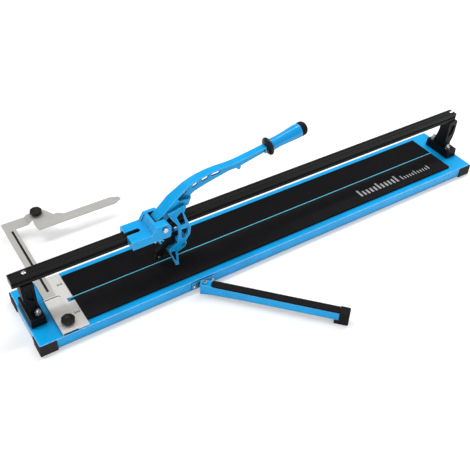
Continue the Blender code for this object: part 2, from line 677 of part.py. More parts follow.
def make_lever():
    beam = slab(LEVER_TOP + LEVER_BELOW + heel_arc(), -1, 1, "XZ")
    for vertex in beam.vertices:
        vertex.co.y *= lever_half_width(vertex.co.x)
    cheeks = [cheek(-23 * MM, -16 * MM), cheek(16 * MM, 23 * MM)]
    tie = box((-291 * MM, -22 * MM, 105 * MM), (-266 * MM, 22 * MM, 116 * MM))
    boss = slab(
        rounded(
            mm((-289, 112), (-284, 77), (-262.5, 77), (-266.5, 112)),
            [0, 9 * MM, 9 * MM, 0],
            steps=4,
        ),
        -9.5 * MM,
        9.5 * MM,
        "XZ",
    )
    brace = slab(mm((-236, 238), (-258, 180), (-266, 180), (-262, 222)), -6 * MM, 6 * MM, "XZ")
    hollows = []
    for side in (-1, 1):
        low, high = sorted((side * LEVER_WEB / 2, side * 40 * MM))
        hollows.append(slab(RECESS_TOP + RECESS_BELOW, low, high, "XZ"))
    windows = []
    for left, right, low, rise in LEVER_WINDOWS:
        slot = mm((left, low), (right, low + rise), (right + 7, low + rise + 11), (left + 7, low + 11))
        windows.append(slab(rounded(slot, 2 * MM, 2), -40 * MM, 40 * MM, "XZ"))
    across = Vector((0, 40 * MM, 0))
    pivot_hole = turned(PIVOT_BOLT_RADIUS + GAP, PIVOT - across, PIVOT + across, sides=16)
    pin_hole = turned(FOOT_PIN_RADIUS + GAP, FOOT_PIN - across, FOOT_PIN + across, sides=16)
    # The rail passes between the cheeks, and the holder of the scoring wheel is let into the tie below it.
    under_beam = mm((-330, 148), (-235, 148), (-235, 206), (-268, 199), (-300, 187), (-330, 181))
    rail_room = slab(under_beam, -15.6 * MM, 15.6 * MM, "XZ")
    holder_room = box((-295 * MM, -5.4 * MM, 106 * MM), (-276 * MM, 5.4 * MM, 130 * MM))
    tang = turned(7 * MM, grip_point(-20 * MM), grip_point(60 * MM), sides=16)
    piece(
        "lever",
        beam,
        "blue_paint",
        at=PIVOT,
        add=[*cheeks, tie, boss, brace, tang],
        cut=[*hollows, *windows, *cheek_windows(-40 * MM, 40 * MM)]
        + [joined(pivot_hole, pin_hole), rail_room, holder_room],
    )


def grip_point(distance):
    """A point on the grip's axis, at a distance from the middle of the collar."""
    along = Vector((math.cos(GRIP_SLOPE), 0, math.sin(GRIP_SLOPE)))
    return COLLAR_CENTRE + along * distance


def grip_turned(profile):
    axis = grip_point(1) - grip_point(0)
    return lathe(profile, COLLAR_CENTRE, axis=axis, steps=28)


def make_grip():
    bore = 7 * MM + GAP
    ring = mm((16.5, 7), (22.3, 4.5), (24.4, 0), (22.8, -4), (18, -6.5), (16.4, -8.5))
    collar = [(bore, 7 * MM), *ring, (bore, -8.5 * MM), (bore, 7 * MM)]
    piece("grip_collar", grip_turned(collar), "black_plastic", at=COLLAR_CENTRE)
    swell = mm((18.4, 97), (18.9, 93), (18.8, 84), (18, 72), (17, 58), (16.1, 44), (15.6, 32))
    swell += mm((15.7, 20), (16.4, 11), (16.2, 7.4))
    grip = [(bore, 97 * MM), *swell, (bore, 7.4 * MM), (bore, 97 * MM)]
    piece("grip", grip_turned(grip), "gloss_blue_plastic", at=COLLAR_CENTRE)
    dome = mm((0, 119.5), (6, 118.9), (12, 116.9), (16.8, 113), (19, 107), (19.2, 100), (18.6, 97.4))
    plug = turned(bore - 2 * GAP, grip_point(84 * MM), grip_point(100 * MM), sides=16)
    cap = grip_turned([*dome, (0, 97.4 * MM)])
    piece("grip_end_cap", cap, "black_rubber", at=COLLAR_CENTRE, add=[plug])


def make_scoring_wheel():
    """A carbide wheel in a forked holder, on an axle with a flat head."""
    x, z = WHEEL_CENTRE.x, WHEEL_CENTRE.z
    upper = mm((-277, 107), (-277, 122), (-294, 122), (-330, 92), (-346, 84))
    lower = mm((-346, 58), (-330, 58), (-318, 84), (-292, 107))
    radii = [1 * MM, 1 * MM, 6 * MM, 6 * MM, 6 * MM, 7 * MM, 7 * MM, 6 * MM, 4 * MM]
    arm = slab(rounded(upper + lower, radii, steps=2), -5 * MM, 5 * MM, "XZ")
    fork = box((x - 16 * MM, -1.6 * MM, 30 * MM), (x + 16 * MM, 1.6 * MM, z + 14 * MM))
    hole = turned(2.3 * MM, (x, -10 * MM, z), (x, 10 * MM, z), sides=12)
    piece("wheel_holder", arm, "black_cast", at=WHEEL_CENTRE, cut=[fork, hole])
    slope = WHEEL_RADIUS - 2.4 * MM
    face = [(2.3 * MM, 1 * MM), (slope, 1 * MM), (WHEEL_RADIUS, 0.15 * MM)]
    other_face = [(radius, -height) for radius, height in reversed(face)]
    wheel = lathe(face + other_face + face[:1], WHEEL_CENTRE, axis=(0, 1, 0), steps=36)
    piece("scoring_wheel", wheel, "carbide", at=WHEEL_CENTRE)
    axle = turned(2 * MM, (x, -6.5 * MM, z), (x, 6.5 * MM, z), sides=12)
    head = turned(4.2 * MM, (x, -8.5 * MM, z), (x, -5 * MM - GAP, z), sides=12)
    piece("wheel_axle", axle, "zinc", at=WHEEL_CENTRE, add=[head])


def sloped(mesh, side):
    """Lifts a shape in proportion to how far it lies inside the tip of a leg of the breaker foot."""
    for vertex in mesh.vertices:
        vertex.co.z += FOOT_SLOPE * (FOOT_TIP_Y - side * vertex.co.y)
    return mesh


def make_breaker_foot():
    """An inverted-V presser across the ridge, on two ears that hang from the lever's foot pin.

    Each leg is a tapering tray: its floor slopes up to the middle, with a wall along both of its edges.
    """
    legs, hollows = [], []
    for side in (-1, 1):
        plan = mm((-313, -side), (-289, -side), (-289, side * 14), (-296, side * 31))
        plan += mm((-304.5, side * 49), (-313, side * 48))
        legs.append(sloped(slab(plan, FOOT_TIP_LOW, FOOT_TIP_LOW + 7 * MM), side))
        plan = mm((-310, side * 17), (-297, side * 17), (-306.5, side * 42), (-310, side * 42))
        hollow = slab(plan, FOOT_TIP_LOW + 2.4 * MM, FOOT_TIP_LOW + 30 * MM)
        hollows.append(sloped(hollow, side))
    ear_outline = rounded(
        mm((-312, 71), (-289, 69), (-268, 76), (-261, 88), (-266, 101), (-283, 102), (-312, 86)),
        [0, 5 * MM, 8 * MM, 8 * MM, 8 * MM, 6 * MM, 3 * MM],
        steps=2,
    )
    ears = [slab(ear_outline, 10 * MM, 15.5 * MM, "XZ"), slab(ear_outline, -15.5 * MM, -10 * MM, "XZ")]
    across = Vector((0, 1, 0))
    hole_end, pin_end = across * 30 * MM, across * 17 * MM
    hole = turned(FOOT_PIN_RADIUS + GAP, FOOT_PIN - hole_end, FOOT_PIN + hole_end, sides=16)
    piece(
        "breaker_foot",
        legs[0],
        "blue_paint",
        at=FOOT_PIN,
        add=[legs[1], *ears],
        cut=[*hollows, hole],
    )
    pin = turned(FOOT_PIN_RADIUS, FOOT_PIN - pin_end, FOOT_PIN + pin_end, sides=16)
    heads = []
    for side in (-1, 1):
        seat, top = across * side * (15.5 * MM + GAP), across * side * 18 * MM
        heads.append(turned(4.6 * MM, FOOT_PIN + seat, FOOT_PIN + top, sides=16))
    piece("foot_pin", pin, "zinc", at=FOOT_PIN, add=heads)


# Side fence


def make_cover_plate():
    """A folded plate: its left half bridges the fence arm, its right strip lies flat against the pads."""
    flat_low = BASE_TOP + GAP
    flat_high = flat_low + PLATE_SHEET
    bridge_low = flat_low + ARM_THICKNESS + 0.8 * MM
    bridge_high = bridge_low + PLATE_SHEET
    step_y = 26 * MM
    inside = PLATE_STEP_X - PLATE_SHEET
    wall = PLATE_LEFT + PLATE_SHEET
    fold = [(PLATE_LEFT, flat_low), (wall, flat_low), (wall, bridge_low)]
    fold += [(inside, bridge_low), (inside, flat_low), (PLATE_RIGHT, flat_low), (PLATE_RIGHT, flat_high)]
    fold += [(PLATE_STEP_X, flat_high), (PLATE_STEP_X, bridge_high), (PLATE_LEFT, bridge_high)]
    tab_left = ARM_RIGHT + 0.4 * MM
    tab = box((tab_left, step_y, flat_low), (inside + 1 * MM, PLATE_HALF_LENGTH, flat_high))
    open_rear = box((PLATE_LEFT - 1, step_y, 0), (tab_left, 1, 1))
    riser_rear = box((PLATE_LEFT - 1, step_y, flat_high + 0.02 * MM), (PLATE_RIGHT + 1, 1, 1))
    notch = rounded(
        mm((-589, -6.5), (-550, -6.5), (-550, 6.5), (-589, 6.5)),
        [2 * MM, 0, 0, 2 * MM],
        steps=2,
    )
    x, y = PLATE_KNOB.x, PLATE_KNOB.y
    stud_hole = turned(3.3 * MM, (x, y, 30 * MM), (x, y, 60 * MM), sides=16)
    piece(
        "fence_cover_plate",
        slab(fold, -PLATE_HALF_LENGTH, PLATE_HALF_LENGTH, "XZ"),
        "steel_plate",
        at=(PLATE_STEP_X, 0, BASE_TOP),
        cut=[open_rear, riser_rear, slab(notch, 30 * MM, 60 * MM), stud_hole],
        add=[tab],
    )


def make_fence_arm():
    """A flat L with a long groove, joggled up near its end so that the blade clears the pads."""
    low = BASE_TOP + GAP
    high = low + ARM_THICKNESS
    ramp_left, ramp_right = -573 * MM, -560 * MM
    bend = 4 * MM
    outline = rounded(
        [(ARM_LEFT, ARM_FRONT), (ARM_RIGHT, ARM_FRONT), (ARM_RIGHT, ARM_CROSS_FRONT)]
        + [(ramp_left + bend - 1 * MM, ARM_CROSS_FRONT), (ramp_left + bend - 1 * MM, ARM_REAR)]
        + [(ARM_LEFT, ARM_REAR)],
        [2 * MM, 2 * MM, 3 * MM, 1 * MM, 1 * MM, 5 * MM],
        steps=2,
    )
    tongue_low, tongue_high = low + ARM_JOGGLE, high + ARM_JOGGLE
    front, rear = ARM_CROSS_FRONT + 2 * MM, ARM_REAR - 1 * MM
    ramp = slab(
        [(ramp_left, low), (ramp_left + bend, low), (ramp_right, tongue_low)]
        + [(ramp_right, tongue_high), (ramp_right - bend, tongue_high), (ramp_left, high)],
        front,
        rear,
        "XZ",
    )
    start, end = ramp_right - 2 * MM, FENCE_PIVOT.x + 14 * MM
    tongue = rounded(
        [(start, front), (end, front), (end, rear), (start, rear)],
        [0, 12 * MM, 12 * MM, 0],
        steps=4,
    )
    half = GROOVE_WIDTH / 2
    groove_front, groove_rear = 50 * MM, 311 * MM
    groove = rounded(
        [(GROOVE_X - half, groove_front), (GROOVE_X + half, groove_front)]
        + [(GROOVE_X + half, groove_rear), (GROOVE_X - half, groove_rear)],
        half - 0.1 * MM,
        steps=3,
    )
    x, y = FENCE_PIVOT.x, FENCE_PIVOT.y
    stud_hole = turned(3.3 * MM, (x, y, 30 * MM), (x, y, 60 * MM), sides=16)
    piece(
        "fence_arm",
        slab(outline, low, high),
        "steel_plate",
        at=(GROOVE_X, 0, low),
        add=[ramp, slab(tongue, tongue_low, tongue_high)],
        cut=[slab(groove, low + 1 * MM, 60 * MM), stud_hole],
    )


def blade_bottom():
    return BASE_TOP + GAP + ARM_THICKNESS + ARM_JOGGLE + GAP


def make_fence_blade():
    """A swivelling straight edge: a gusset round its pivot, a long blade and a turned-down front lip."""
    low = blade_bottom()
    high = low + 2.4 * MM
    outline = rounded(
        mm((-559, 270), (-330, 270), (-311, 279), (-313, 291), (-337, 301), (-474, 300))
        + mm((-489, 312), (-500, 312), (-519, 346), (-551, 346), (-561, 300)),
        [2 * MM, 6 * MM, 4 * MM, 4 * MM, 3 * MM, 6 * MM, 3 * MM, 3 * MM, 9 * MM, 9 * MM, 3 * MM],
        steps=2,
    )
    lip = box((-556 * MM, 270 * MM, low - 1.2 * MM), (-332 * MM, 272.4 * MM, high - 0.5 * MM))
    x, y = FENCE_PIVOT.x, FENCE_PIVOT.y
    stud_hole = turned(3.3 * MM, (x, y, 30 * MM), (x, y, 60 * MM), sides=16)
    blade = slab(outline, low, high)
    piece("fence_blade", blade, "steel_plate", at=(x, y, low), add=[lip], cut=[stud_hole])


def make_knob(name, centre, seat, stud_end):
    """A hand knob with eight lobes, moulded on a threaded stud."""
    x, y = centre.x, centre.y
    low, high = seat + GAP, seat + 14 * MM
    lobes = []
    for step in range(48):
        angle = 2 * math.pi * step / 48
        radius = KNOB_RADIUS * (1 - 0.045 + 0.045 * math.cos(8 * angle))
        lobes.append((x + radius * math.cos(angle), y + radius * math.sin(angle)))
    hub = turned(9 * MM, (x, y, low), (x, y, low + 4 * MM), sides=24)
    stud = turned(3 * MM, (x, y, stud_end), (x, y, low + 2 * MM), sides=16)
    piece(name, slab(lobes, low + 3 * MM, high), "black_plastic", at=(x, y, low), add=[hub, stud])


def make_knobs():
    bridge_top = BASE_TOP + GAP + ARM_THICKNESS + 0.8 * MM + PLATE_SHEET
    make_knob("cover_plate_knob", PLATE_KNOB, bridge_top, BASE_TOP + 2 * GAP + ARM_THICKNESS)
    make_knob("fence_knob", FENCE_PIVOT, blade_bottom() + 2.4 * MM, BASE_TOP + 1.5 * MM)


# Support arm


def support_screw_places():
    return [(x, -BASE_WIDTH / 2, 18 * MM) for x in (-290 * MM, -238 * MM)]


def make_support_bracket():
    """A plate screwed to the front flange, with a knuckle that the support arm turns on."""
    x, y = SUPPORT_PIVOT.x, SUPPORT_PIVOT.y
    face = -BASE_WIDTH / 2 - GAP
    plate = box((-297 * MM, face - 2.5 * MM, 8 * MM), (-231 * MM, face, 30 * MM))
    knuckle = turned(7 * MM, (x, y, 9 * MM), (x, y, 30 * MM), sides=24)
    web = box((x - 4 * MM, y, 9.5 * MM), (x + 4 * MM, face - 1 * MM, 29.5 * MM))
    pin_hole = turned(3.4 * MM, (x, y, 0), (x, y, 50 * MM), sides=16)
    holes = [
        turned(2.9 * MM, (hole_x, face - 9 * MM, z), (hole_x, face + 5 * MM, z), sides=12)
        for hole_x, _, z in support_screw_places()
    ]
    piece(
        "support_bracket",
        plate,
        "blue_paint",
        at=(x, y, 9 * MM),
        add=[knuckle, web],
        cut=[pin_hole, joined(*holes)],
    )
    for number, (screw_x, _, z) in enumerate(support_screw_places(), start=1):
        seat = face - 2.5 * MM - GAP
        head = turned(5 * MM, (screw_x, seat, z), (screw_x, seat - 3 * MM, z), sides=20, end_radius=3 * MM)
        shank = turned(2.5 * MM, (screw_x, seat - 1 * MM, z), (screw_x, face + 8 * MM, z), sides=12)
        piece(f"support_bracket_screw_{number}", head, "zinc", at=(screw_x, seat, z), add=[shank])


def make_support_arm():
    """An inverted channel whose rear wall stops short of the knuckle, so that it can swing."""
    x, y = SUPPORT_PIVOT.x, SUPPORT_PIVOT.y
    half = SUPPORT_WIDTH / 2
    sheet = 1.8 * MM
    end = x + SUPPORT_LENGTH - 2.4 * MM
    corners = [(x - half, y - half), (end, y - half), (end, y + half), (x - half, y + half)]
    outline = rounded(corners, [3 * MM, 0, 0, 10 * MM])
    hollow = box((x - 1, y - half + sheet, -10 * MM), (x + 1, y + half - sheet, SUPPORT_TOP - sheet))
    roof = SUPPORT_TOP - sheet
    rear_wall_end = box((x - 1, y - half + sheet, -10 * MM), (x + 17 * MM, y + 2 * half, roof))
    pin_hole = turned(3.4 * MM, (x, y, 0), (x, y, 60 * MM), sides=16)
    # The walls are deepest at the knuckle and rise towards the arm's outer end
    low_edge = [(x - 1, -10 * MM), (x - 1, 4 * MM), (x - half, 4 * MM), (x + 20 * MM, 8.6 * MM)]
    low_edge += [(x + 110 * MM, 11.7 * MM), (end + 1 * MM, SUPPORT_WALL_BOTTOM), (end + 1 * MM, -10 * MM)]
    below = slab(low_edge, y - 2 * half, y + 2 * half, "XZ")
    piece(
        "support_arm",
        slab(outline, 2 * MM, SUPPORT_TOP),
        "blue_paint",
        at=(x, y, SUPPORT_TOP),
        cut=[hollow, rear_wall_end, pin_hole, below],
        spin=SUPPORT_ANGLE,
    )
    strip_start = x + 17 * MM
    strip_outline = [(strip_start, y - half + 1 * MM), (end - SUPPORT_CAP_COVER, y - half + 1 * MM)]
    strip_outline += [(end - SUPPORT_CAP_COVER, y + half - 1 * MM), (strip_start, y + half - 1 * MM)]
    strip = slab(rounded(strip_outline, [9 * MM, 0, 0, 9 * MM]), SUPPORT_TOP + GAP, PAD_TOP)
    piece("support_arm_strip", strip, "black_rubber", at=(x, y, SUPPORT_TOP), spin=SUPPORT_ANGLE)
    make_support_end_cap(x, y, half, sheet, end)
    head_low = SUPPORT_TOP + GAP
    head = hexagon(10 * MM, head_low, head_low + 4.5 * MM, (x, y))
    shank = turned(3 * MM, (x, y, 6 * MM), (x, y, head_low + 1 * MM), sides=16)
    piece("support_pivot_bolt", head, "zinc", at=(x, y, SUPPORT_TOP), add=[shank])


def make_support_end_cap(x, y, half, sheet, end):
    """The rubber end that caps the arm, with a plug inside the channel and a foot below it."""
    wall = 1.2 * MM
    cap_low, cap_end = end - SUPPORT_CAP_COVER + GAP, x + SUPPORT_LENGTH + 4 * MM
    near, far = y - half - wall, y + half + wall
    corners = [(cap_low, near), (cap_end, near), (cap_end, far), (cap_low, far)]
    outline = rounded(corners, [0, 4 * MM, 4 * MM, 0])
    lip_top = SUPPORT_WALL_BOTTOM - 1 * MM
    lip = box((cap_low - 11 * MM, near, 0), (cap_low + 2 * MM, far, lip_top))
    start, stop, top = cap_low - 1 * MM, end + GAP, SUPPORT_TOP + GAP
    walls = [
        box((start, y + low - GAP, SUPPORT_WALL_BOTTOM - 2 * GAP), (stop, y + high + GAP, top))
        for low, high in ((-half, -half + sheet), (half - sheet, half))
    ]
    roof = box((start, y - half - GAP, SUPPORT_TOP - sheet - GAP), (stop, y + half + GAP, top))
    piece(
        "support_arm_end_cap",
        slab(outline, 0, PAD_TOP),
        "black_rubber",
        at=(x, y, SUPPORT_TOP),
        add=[lip],
        cut=[*walls, roof],
        spin=SUPPORT_ANGLE,
    )


def centre_the_part():
    """Shifts the assembly so that its origin is under the middle of its bounding box."""
    bpy.context.view_layer.update()
    graph = bpy.context.evaluated_depsgraph_get()
    corners = []
    for obj in PARTS.objects:
        if obj.type != "MESH":
            continue
        evaluated = obj.evaluated_get(graph)
        corners += [evaluated.matrix_world @ vertex.co for vertex in evaluated.data.vertices]
    low = Vector([min(c[i] for c in corners) for i in range(3)])
    high = Vector([max(c[i] for c in corners) for i in range(3)])
    ORIGIN.location = (-(low.x + high.x) / 2, -(low.y + high.y) / 2, -low.z)
    bpy.context.view_layer.update()


make_base()
make_feet()
make_bed()
make_rail()
make_bracket("left_rail_bracket", -BRACKET_X)
make_bracket("right_rail_bracket", BRACKET_X)
make_bracket_fasteners()
make_carriage()
make_rollers()
make_pivot_bolt()
make_lever()
make_grip()
make_scoring_wheel()
make_breaker_foot()
make_cover_plate()
make_fence_arm()
make_fence_blade()
make_knobs()
make_support_bracket()
make_support_arm()
centre_the_part()
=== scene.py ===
"""A tile cutter with its finished surfaces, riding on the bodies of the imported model.

Lengths are in millimetres and are turned into metres by `at`; the frame's own boxes are in metres.
Millimetre places are measured from under the middle of the blue tray: X along the rail, Y away, Z up.
"""
import json
import math

import bmesh
import bpy
from mathutils import Matrix, Vector

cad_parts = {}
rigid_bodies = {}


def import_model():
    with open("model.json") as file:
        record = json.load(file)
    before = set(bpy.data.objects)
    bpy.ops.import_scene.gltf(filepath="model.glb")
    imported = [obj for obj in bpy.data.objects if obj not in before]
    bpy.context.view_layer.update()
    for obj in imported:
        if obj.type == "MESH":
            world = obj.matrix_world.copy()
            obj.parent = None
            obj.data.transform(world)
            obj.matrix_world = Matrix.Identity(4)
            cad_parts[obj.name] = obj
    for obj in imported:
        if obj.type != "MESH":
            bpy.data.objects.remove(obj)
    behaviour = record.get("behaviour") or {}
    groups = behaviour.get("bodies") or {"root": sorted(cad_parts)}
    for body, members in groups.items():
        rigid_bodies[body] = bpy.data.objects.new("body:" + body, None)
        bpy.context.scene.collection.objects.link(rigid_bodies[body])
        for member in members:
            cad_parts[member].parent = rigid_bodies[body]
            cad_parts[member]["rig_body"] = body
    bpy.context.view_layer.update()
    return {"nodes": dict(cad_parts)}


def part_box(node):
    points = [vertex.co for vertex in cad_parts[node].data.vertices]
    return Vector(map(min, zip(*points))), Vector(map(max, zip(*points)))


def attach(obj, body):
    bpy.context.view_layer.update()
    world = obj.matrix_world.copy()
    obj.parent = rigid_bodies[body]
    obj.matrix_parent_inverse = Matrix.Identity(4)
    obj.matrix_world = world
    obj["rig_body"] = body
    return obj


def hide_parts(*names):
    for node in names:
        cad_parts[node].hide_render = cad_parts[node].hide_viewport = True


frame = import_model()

MM = 0.001
TRAY_LOW, TRAY_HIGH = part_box("base_tray")
SHIFT = Vector(((TRAY_LOW.x + TRAY_HIGH.x) / 2, (TRAY_LOW.y + TRAY_HIGH.y) / 2, 0.0))


def at(x, y, z):
    """A place in metres in the frame, from millimetres off the middle of the tray."""
    return Vector((x, y, z)) * MM + SHIFT


def middle(node):
    low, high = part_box(node)
    return (low + high) / 2


def on_axis(node, height):
    """The place on a node's upright middle line at a height in metres."""
    centre = middle(node)
    return Vector((centre.x, centre.y, height))


def top_of(node):
    """The height of a node's top in millimetres."""
    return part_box(node)[1].z / MM


# --- Materials --------------------------------------------------------------------------------------

FIRST_COLOUR, SECOND_COLOUR, MIXED_COLOUR = 6, 7, 2  # the Mix node's sockets for colours


class Graph:
    """A short way to write a material's nodes."""

    def __init__(self, name):
        self.material = bpy.data.materials.new(name)
        self.material.use_nodes = True
        self.tree = self.material.node_tree
        self.shader = self.tree.nodes["Principled BSDF"]
        self.place = self.add("ShaderNodeTexCoord").outputs["Object"]

    def fill(self, sockets, values):
        """Links each socket to a value that is a socket, and sets it to any other value."""
        for socket, value in zip(sockets, values):
            if isinstance(value, bpy.types.NodeSocket):
                self.tree.links.new(value, socket)
            else:
                socket.default_value = value

    def add(self, kind, inputs=None, **settings):
        node = self.tree.nodes.new(kind)
        for key, value in settings.items():
            setattr(node, key, value)
        if inputs:
            self.fill([node.inputs[key] for key in inputs], inputs.values())
        return node

    def link(self, source, socket):
        self.tree.links.new(source, self.shader.inputs[socket])

    def finished(self, constants):
        """Sets the shader's sockets that are the same all over, and gives the material."""
        for socket, value in constants.items():
            self.shader.inputs[socket].default_value = value
        return self.material

    def stretched(self, scale):
        return self.add("ShaderNodeMapping", {"Vector": self.place, "Scale": scale}).outputs["Vector"]

    def noise(self, scale, detail=3.0, rough=0.55, stretch=None):
        vector = self.stretched(stretch) if stretch else self.place
        inputs = {"Vector": vector, "Scale": scale, "Detail": detail, "Roughness": rough}
        return self.add("ShaderNodeTexNoise", inputs).outputs["Fac"]

    def ranged(self, value, low, high, to_low, to_high):
        inputs = {"Value": value, "From Min": low, "From Max": high, "To Min": to_low, "To Max": to_high}
        return self.add("ShaderNodeMapRange", inputs).outputs["Result"]

    def mixed(self, factor, first, second):
        node = self.add("ShaderNodeMix", data_type="RGBA")
        sockets = (node.inputs["Factor"], node.inputs[FIRST_COLOUR], node.inputs[SECOND_COLOUR])
        self.fill(sockets, (factor, first, second))
        return node.outputs[MIXED_COLOUR]

    def maths(self, operation, first, second):
        node = self.add("ShaderNodeMath", operation=operation)
        self.fill(node.inputs, (first, second))
        return node.outputs[0]

    def edges(self, radius):
        """0 on flat faces, rising to 1 along sharp edges."""
        rounded = self.add("ShaderNodeBevel", {"Radius": radius}, samples=6).outputs["Normal"]
        flat = self.add("ShaderNodeNewGeometry").outputs["Normal"]
        match = self.add("ShaderNodeVectorMath", {0: rounded, 1: flat}, operation="DOT_PRODUCT")
        return self.ranged(match.outputs["Value"], 0.99, 0.86, 0.0, 1.0)

    def hollows(self, reach):
        """1 in the open, falling to 0 in creases and pockets."""
        node = self.add("ShaderNodeAmbientOcclusion", {"Distance": reach}, samples=8)
        return self.ranged(node.outputs["AO"], 0.2, 0.85, 0.0, 1.0)

    def bumped(self, height, strength, distance, under=None):
        inputs = {"Height": height, "Strength": strength, "Distance": distance}
        if under:
            inputs["Normal"] = under
        return self.add("ShaderNodeBump", inputs).outputs["Normal"]


def linear(red, green, blue):
    """A colour for a shader from the 0 to 255 values of a picture."""
    def channel(value):
        value /= 255
        return value / 12.92 if value <= 0.04045 else ((value + 0.055) / 1.055) ** 2.4

    return (channel(red), channel(green), channel(blue), 1.0)


def shaded(colour, factor):
    return tuple(min(1.0, c * factor) for c in colour[:3]) + (1.0,)


def painted(name, colour, rough, coat, edge_highlight, peel=0.05, highlight_width=0.0028):
    """Paint or glossy moulding: slight mottling, a soft orange-peel surface and paler, duller edges, whose
    paleness is a painted highlight, with painted shade in creases and pockets.
    """
    g = Graph(name)
    mottle = g.ranged(g.noise(22.0, 4.0), 0.3, 0.7, 0.0, 1.0)
    specks = g.ranged(g.noise(900.0, 2.0), 0.62, 0.72, 0.0, 0.35)
    base = g.mixed(mottle, shaded(colour, 0.9), shaded(colour, 1.06))
    base = g.mixed(specks, base, shaded(colour, 0.8))
    broken = g.ranged(g.noise(160.0, 4.0), 0.35, 0.65, 0.35, 1.0)
    # The edges' pale colour is a painted highlight along sharp edges, broken up by noise; the same mask
    # makes them duller, like wear.
    patchy_edges = g.maths("MULTIPLY", g.edges(highlight_width), broken)
    base = g.mixed(g.maths("MULTIPLY", patchy_edges, 0.75), base, edge_highlight)
    # Painted shade: the colour falls to a near-black blue in creases and pockets.
    g.link(g.mixed(g.hollows(0.03), shaded(colour, 0.12), base), "Base Color")
    smear = g.ranged(g.noise(9.0, 5.0, 0.6), 0.3, 0.7, rough - 0.06, rough + 0.08)
    g.link(g.maths("ADD", smear, g.maths("MULTIPLY", patchy_edges, 0.15)), "Roughness")
    g.link(g.bumped(g.noise(520.0, 2.0), peel, 0.0006), "Normal")
    gloss = {"Specular IOR Level": 0.22, "Coat Weight": coat, "Coat IOR": 1.3, "Coat Roughness": 0.1}
    return g.finished(gloss)


def rubber(name, colour, rough, scale, strength, dust):
    """Matt black rubber: a fine grained skin, a little dust and greyer edges."""
    g = Graph(name)
    cloud = g.ranged(g.noise(30.0, 5.0, 0.65), 0.35, 0.7, 0.0, 1.0)
    base = g.mixed(cloud, shaded(colour, 0.85), shaded(colour, 1.25))
    grains = g.noise(scale, 2.0)
    specks = g.ranged(g.noise(1400.0, 1.0), 0.66, 0.74, 0.0, dust)
    base = g.mixed(specks, base, linear(120, 120, 122))
    edge = g.maths("MULTIPLY", g.edges(0.0014), 0.45)
    g.link(g.mixed(edge, base, shaded(colour, 3.2)), "Base Color")
    g.link(g.ranged(cloud, 0.0, 1.0, rough - 0.05, rough + 0.07), "Roughness")
    pores = g.add("ShaderNodeTexVoronoi", {"Vector": g.place, "Scale": scale}).outputs["Distance"]
    normal = g.bumped(grains, strength, 0.0005)
    g.link(g.bumped(pores, strength * 0.6, 0.0004, normal), "Normal")
    return g.finished({"Specular IOR Level": 0.08})


def cast(name, colour, rough):
    """Powder-coated casting: a pebbled surface with paler rubbed edges, and painted shade in its creases
    and pockets.
    """
    g = Graph(name)
    cloud = g.ranged(g.noise(45.0, 4.0), 0.3, 0.7, 0.0, 1.0)
    base = g.mixed(cloud, shaded(colour, 0.75), shaded(colour, 1.3))
    broken = g.ranged(g.noise(240.0, 3.0), 0.4, 0.62, 0.1, 1.0)
    patchy_edges = g.maths("MULTIPLY", g.edges(0.0016), broken)
    base = g.mixed(g.maths("MULTIPLY", patchy_edges, 0.4), base, linear(96, 96, 98))
    # Painted shade: the colour falls to near-black in creases and pockets.
    g.link(g.mixed(g.hollows(0.02), shaded(colour, 0.15), base), "Base Color")
    g.link(g.ranged(g.noise(60.0), 0.3, 0.7, rough - 0.08, rough + 0.1), "Roughness")
    pebbles = g.noise(420.0, 3.0, 0.6)
    lumps = g.noise(90.0, 2.0)
    g.link(g.bumped(pebbles, 0.35, 0.0007, g.bumped(lumps, 0.2, 0.001)), "Normal")
    return g.finished({"Specular IOR Level": 0.14})


def anodised(name, colour, rough):
    """Black anodised extrusion: fine lines along its length, with lighter edges."""
    g = Graph(name)
    lines = g.noise(60.0, 3.0, 0.6, stretch=(0.25, 26.0, 26.0))
    cloud = g.noise(7.0, 4.0)
    base = g.mixed(g.ranged(lines, 0.3, 0.7, 0.0, 1.0), shaded(colour, 0.8), shaded(colour, 1.25))
    base = g.mixed(g.ranged(cloud, 0.4, 0.7, 0.0, 0.3), base, shaded(colour, 1.5))
    # The lighter edges are a painted highlight along sharp edges.
    edge = g.maths("MULTIPLY", g.edges(0.0008), 0.5)
    g.link(g.mixed(edge, base, linear(150, 150, 152)), "Base Color")
    g.link(g.ranged(lines, 0.3, 0.7, rough - 0.07, rough + 0.08), "Roughness")
    g.link(g.bumped(lines, 0.12, 0.0003), "Normal")
    return g.finished({"Metallic": 0.3, "Specular IOR Level": 0.16})


def brushed(name, colour, rough, along, metallic):
    """Bare brushed sheet: hairlines along one axis, faint stains and brighter edges."""
    g = Graph(name)
    stretch = (0.4, 20.0, 20.0) if along == "X" else (20.0, 0.4, 20.0)
    lines = g.noise(60.0, 4.0, 0.65, stretch=stretch)
    stains = g.ranged(g.noise(14.0, 5.0, 0.62), 0.4, 0.72, 0.0, 0.35)
    base = g.mixed(g.ranged(lines, 0.3, 0.7, 0.0, 1.0), shaded(colour, 0.86), shaded(colour, 1.08))
    base = g.mixed(stains, base, shaded(colour, 0.78))
    edge = g.maths("MULTIPLY", g.edges(0.0007), 0.7)
    g.link(g.mixed(edge, base, shaded(colour, 1.3)), "Base Color")
    g.link(g.ranged(lines, 0.3, 0.7, rough - 0.08, rough + 0.1), "Roughness")
    g.link(g.bumped(lines, 0.1, 0.0003), "Normal")
    return g.finished({"Metallic": metallic})


